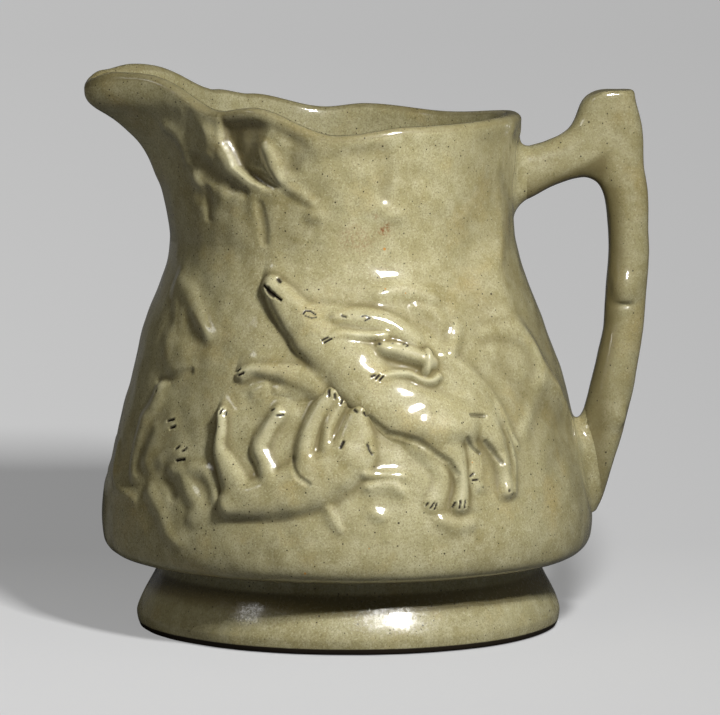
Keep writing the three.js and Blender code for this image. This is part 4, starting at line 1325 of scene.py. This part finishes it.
def paper_material():
    """Paper that is a little paler away from the key lamp, with a faint glow towards the camera."""
    material, tree, shader, place = new_material("paper")
    reach = tree.nodes.new("ShaderNodeVectorMath")
    reach.operation = "DISTANCE"
    feed(tree, reach.inputs[0], place)
    feed(tree, reach.inputs[1], FLOOR_KEY_PLACE)
    far = reach.outputs["Value"]
    evening = KEY_ON_FLOOR * math.pi / (FLOOR_KEY_LIGHT / math.pi * FLOOR_KEY_PLACE[2])
    falling = combine(tree, "DIVIDE", KEY_ON_FLOOR * PALEST_PAPER / evening, far)
    lit = combine(tree, "MINIMUM", falling, KEY_ON_FLOOR)
    glow = combine(tree, "MAXIMUM", combine(tree, "SUBTRACT", paper_tone(tree, place), lit), 0)
    ray = tree.nodes.new("ShaderNodeLightPath")
    glossy = ray.outputs["Is Glossy Ray"]
    mirrored = combine(tree, "MULTIPLY", glossy, MIRRORED_GLOW)
    seen = combine(tree, "MAXIMUM", ray.outputs["Is Camera Ray"], mirrored)
    seen = combine(tree, "MAXIMUM", seen, ray.outputs["Is Transmission Ray"])
    paper = combine(tree, "MINIMUM", combine(tree, "MULTIPLY", far, evening), PALEST_PAPER)
    dimmed = combine(tree, "MULTIPLY", glossy, 1 - MIRRORED_PAPER)
    paper = combine(tree, "MULTIPLY", paper, combine(tree, "SUBTRACT", 1, dimmed))
    grey = add_node(tree, "ShaderNodeCombineColor", Red=paper, Green=paper, Blue=paper)
    tree.links.new(grey.outputs[0], shader.inputs["Base Color"])
    shader.inputs["Emission Color"].default_value = (1, 1, 1, 1)
    tree.links.new(combine(tree, "MULTIPLY", glow, seen), shader.inputs["Emission Strength"])
    shader.inputs["Roughness"].default_value = 1
    shader.inputs["Specular IOR Level"].default_value = 0
    return material


def add_light(name, place, aim, size, power, receivers, mirrored=True, colour=WHITE, spread=180):
    """Softbox that lights some of the objects. One that isn't mirrored leaves no glint on the glaze."""
    lamp = bpy.data.lights.new(name, "AREA")
    lamp.shape = "RECTANGLE"
    lamp.size, lamp.size_y = size
    lamp.energy = power
    lamp.color = colour
    lamp.spread = math.radians(spread)
    holder = bpy.data.objects.new(name, lamp)
    holder.location = place
    holder.rotation_euler = (Vector(aim) - Vector(place)).to_track_quat("-Z", "Y").to_euler()
    holder.visible_camera = False
    holder.visible_glossy = mirrored
    holder.light_linking.receiver_collection = receivers
    bpy.context.scene.collection.objects.link(holder)
    return lamp


def keep_even(lamp):
    """Makes a lamp as strong far from it as near it."""
    lamp.use_nodes = True
    tree = lamp.node_tree
    falloff = add_node(tree, "ShaderNodeLightFalloff", Strength=1.0)
    tree.links.new(falloff.outputs["Constant"], tree.nodes["Emission"].inputs["Strength"])


def lit_group(name, objects):
    group = bpy.data.collections.new(name)
    for item in objects:
        group.objects.link(item)
    return group


def build_light(floor):
    meshes = [item for item in bpy.context.scene.objects if item.type == "MESH"]
    jug = lit_group("lit jug", [item for item in meshes if item != floor])
    paper = lit_group("lit floor", [floor])
    x, y, z = KEY_PLACE
    for lift in (-KEY_SPLIT, KEY_SPLIT):
        place = (x, y + 0.5 * lift, z + lift)
        add_light("key lamp", place, KEY_AIM, KEY_SIZE, KEY_LIGHT / 2, jug, spread=KEY_SPREAD)
    keep_even(add_light("floor lamp", FLOOR_KEY_PLACE, JUG_MIDDLE, FLOOR_KEY_SIZE, FLOOR_KEY_LIGHT, paper))
    for name, place, aim, size, power, mirrored, colour in LAMPS:
        add_light(name, place, aim, size, power, jug, mirrored, colour)
    world = bpy.data.worlds.new("studio")
    world.use_nodes = True
    backdrop = world.node_tree.nodes["Background"]
    backdrop.inputs["Color"].default_value = (1, 1, 1, 1)
    backdrop.inputs["Strength"].default_value = WORLD_LIGHT
    bpy.context.scene.world = world


def build_camera():
    lens = bpy.data.cameras.new("camera")
    lens.lens = FOCAL_LENGTH
    lens.sensor_width = SENSOR_WIDTH
    lens.clip_end = VIEW_DISTANCE
    holder = bpy.data.objects.new("camera", lens)
    holder.location = CAMERA_PLACE
    holder.rotation_euler = (math.radians(CAMERA_TILT), 0, math.radians(CAMERA_TURN))
    bpy.context.scene.collection.objects.link(holder)
    bpy.context.scene.camera = holder


build_half(LEFT, "body_left_half")
build_half(RIGHT, "body_right_half")
build_foot()
build_floor()
build_floor_coil()
build_seam_coil("front_seam_coil", 0)
build_seam_coil("back_seam_coil", 180)
build_handle()
for collar, (low_corner, high_corner) in COLLAR_BOXES.items():
    build_collar(collar, low_corner, high_corner)
for side_name, side in (("left", LEFT), ("right", RIGHT)):
    for figure, strokes, marks, run_out, softness in FIGURES:
        build_sprig(strokes, marks, run_out, softness, side, f"{side_name}_{figure}_sprig")

build_light(build_stage())
build_camera()
bpy.context.scene.view_settings.view_transform = "Standard"
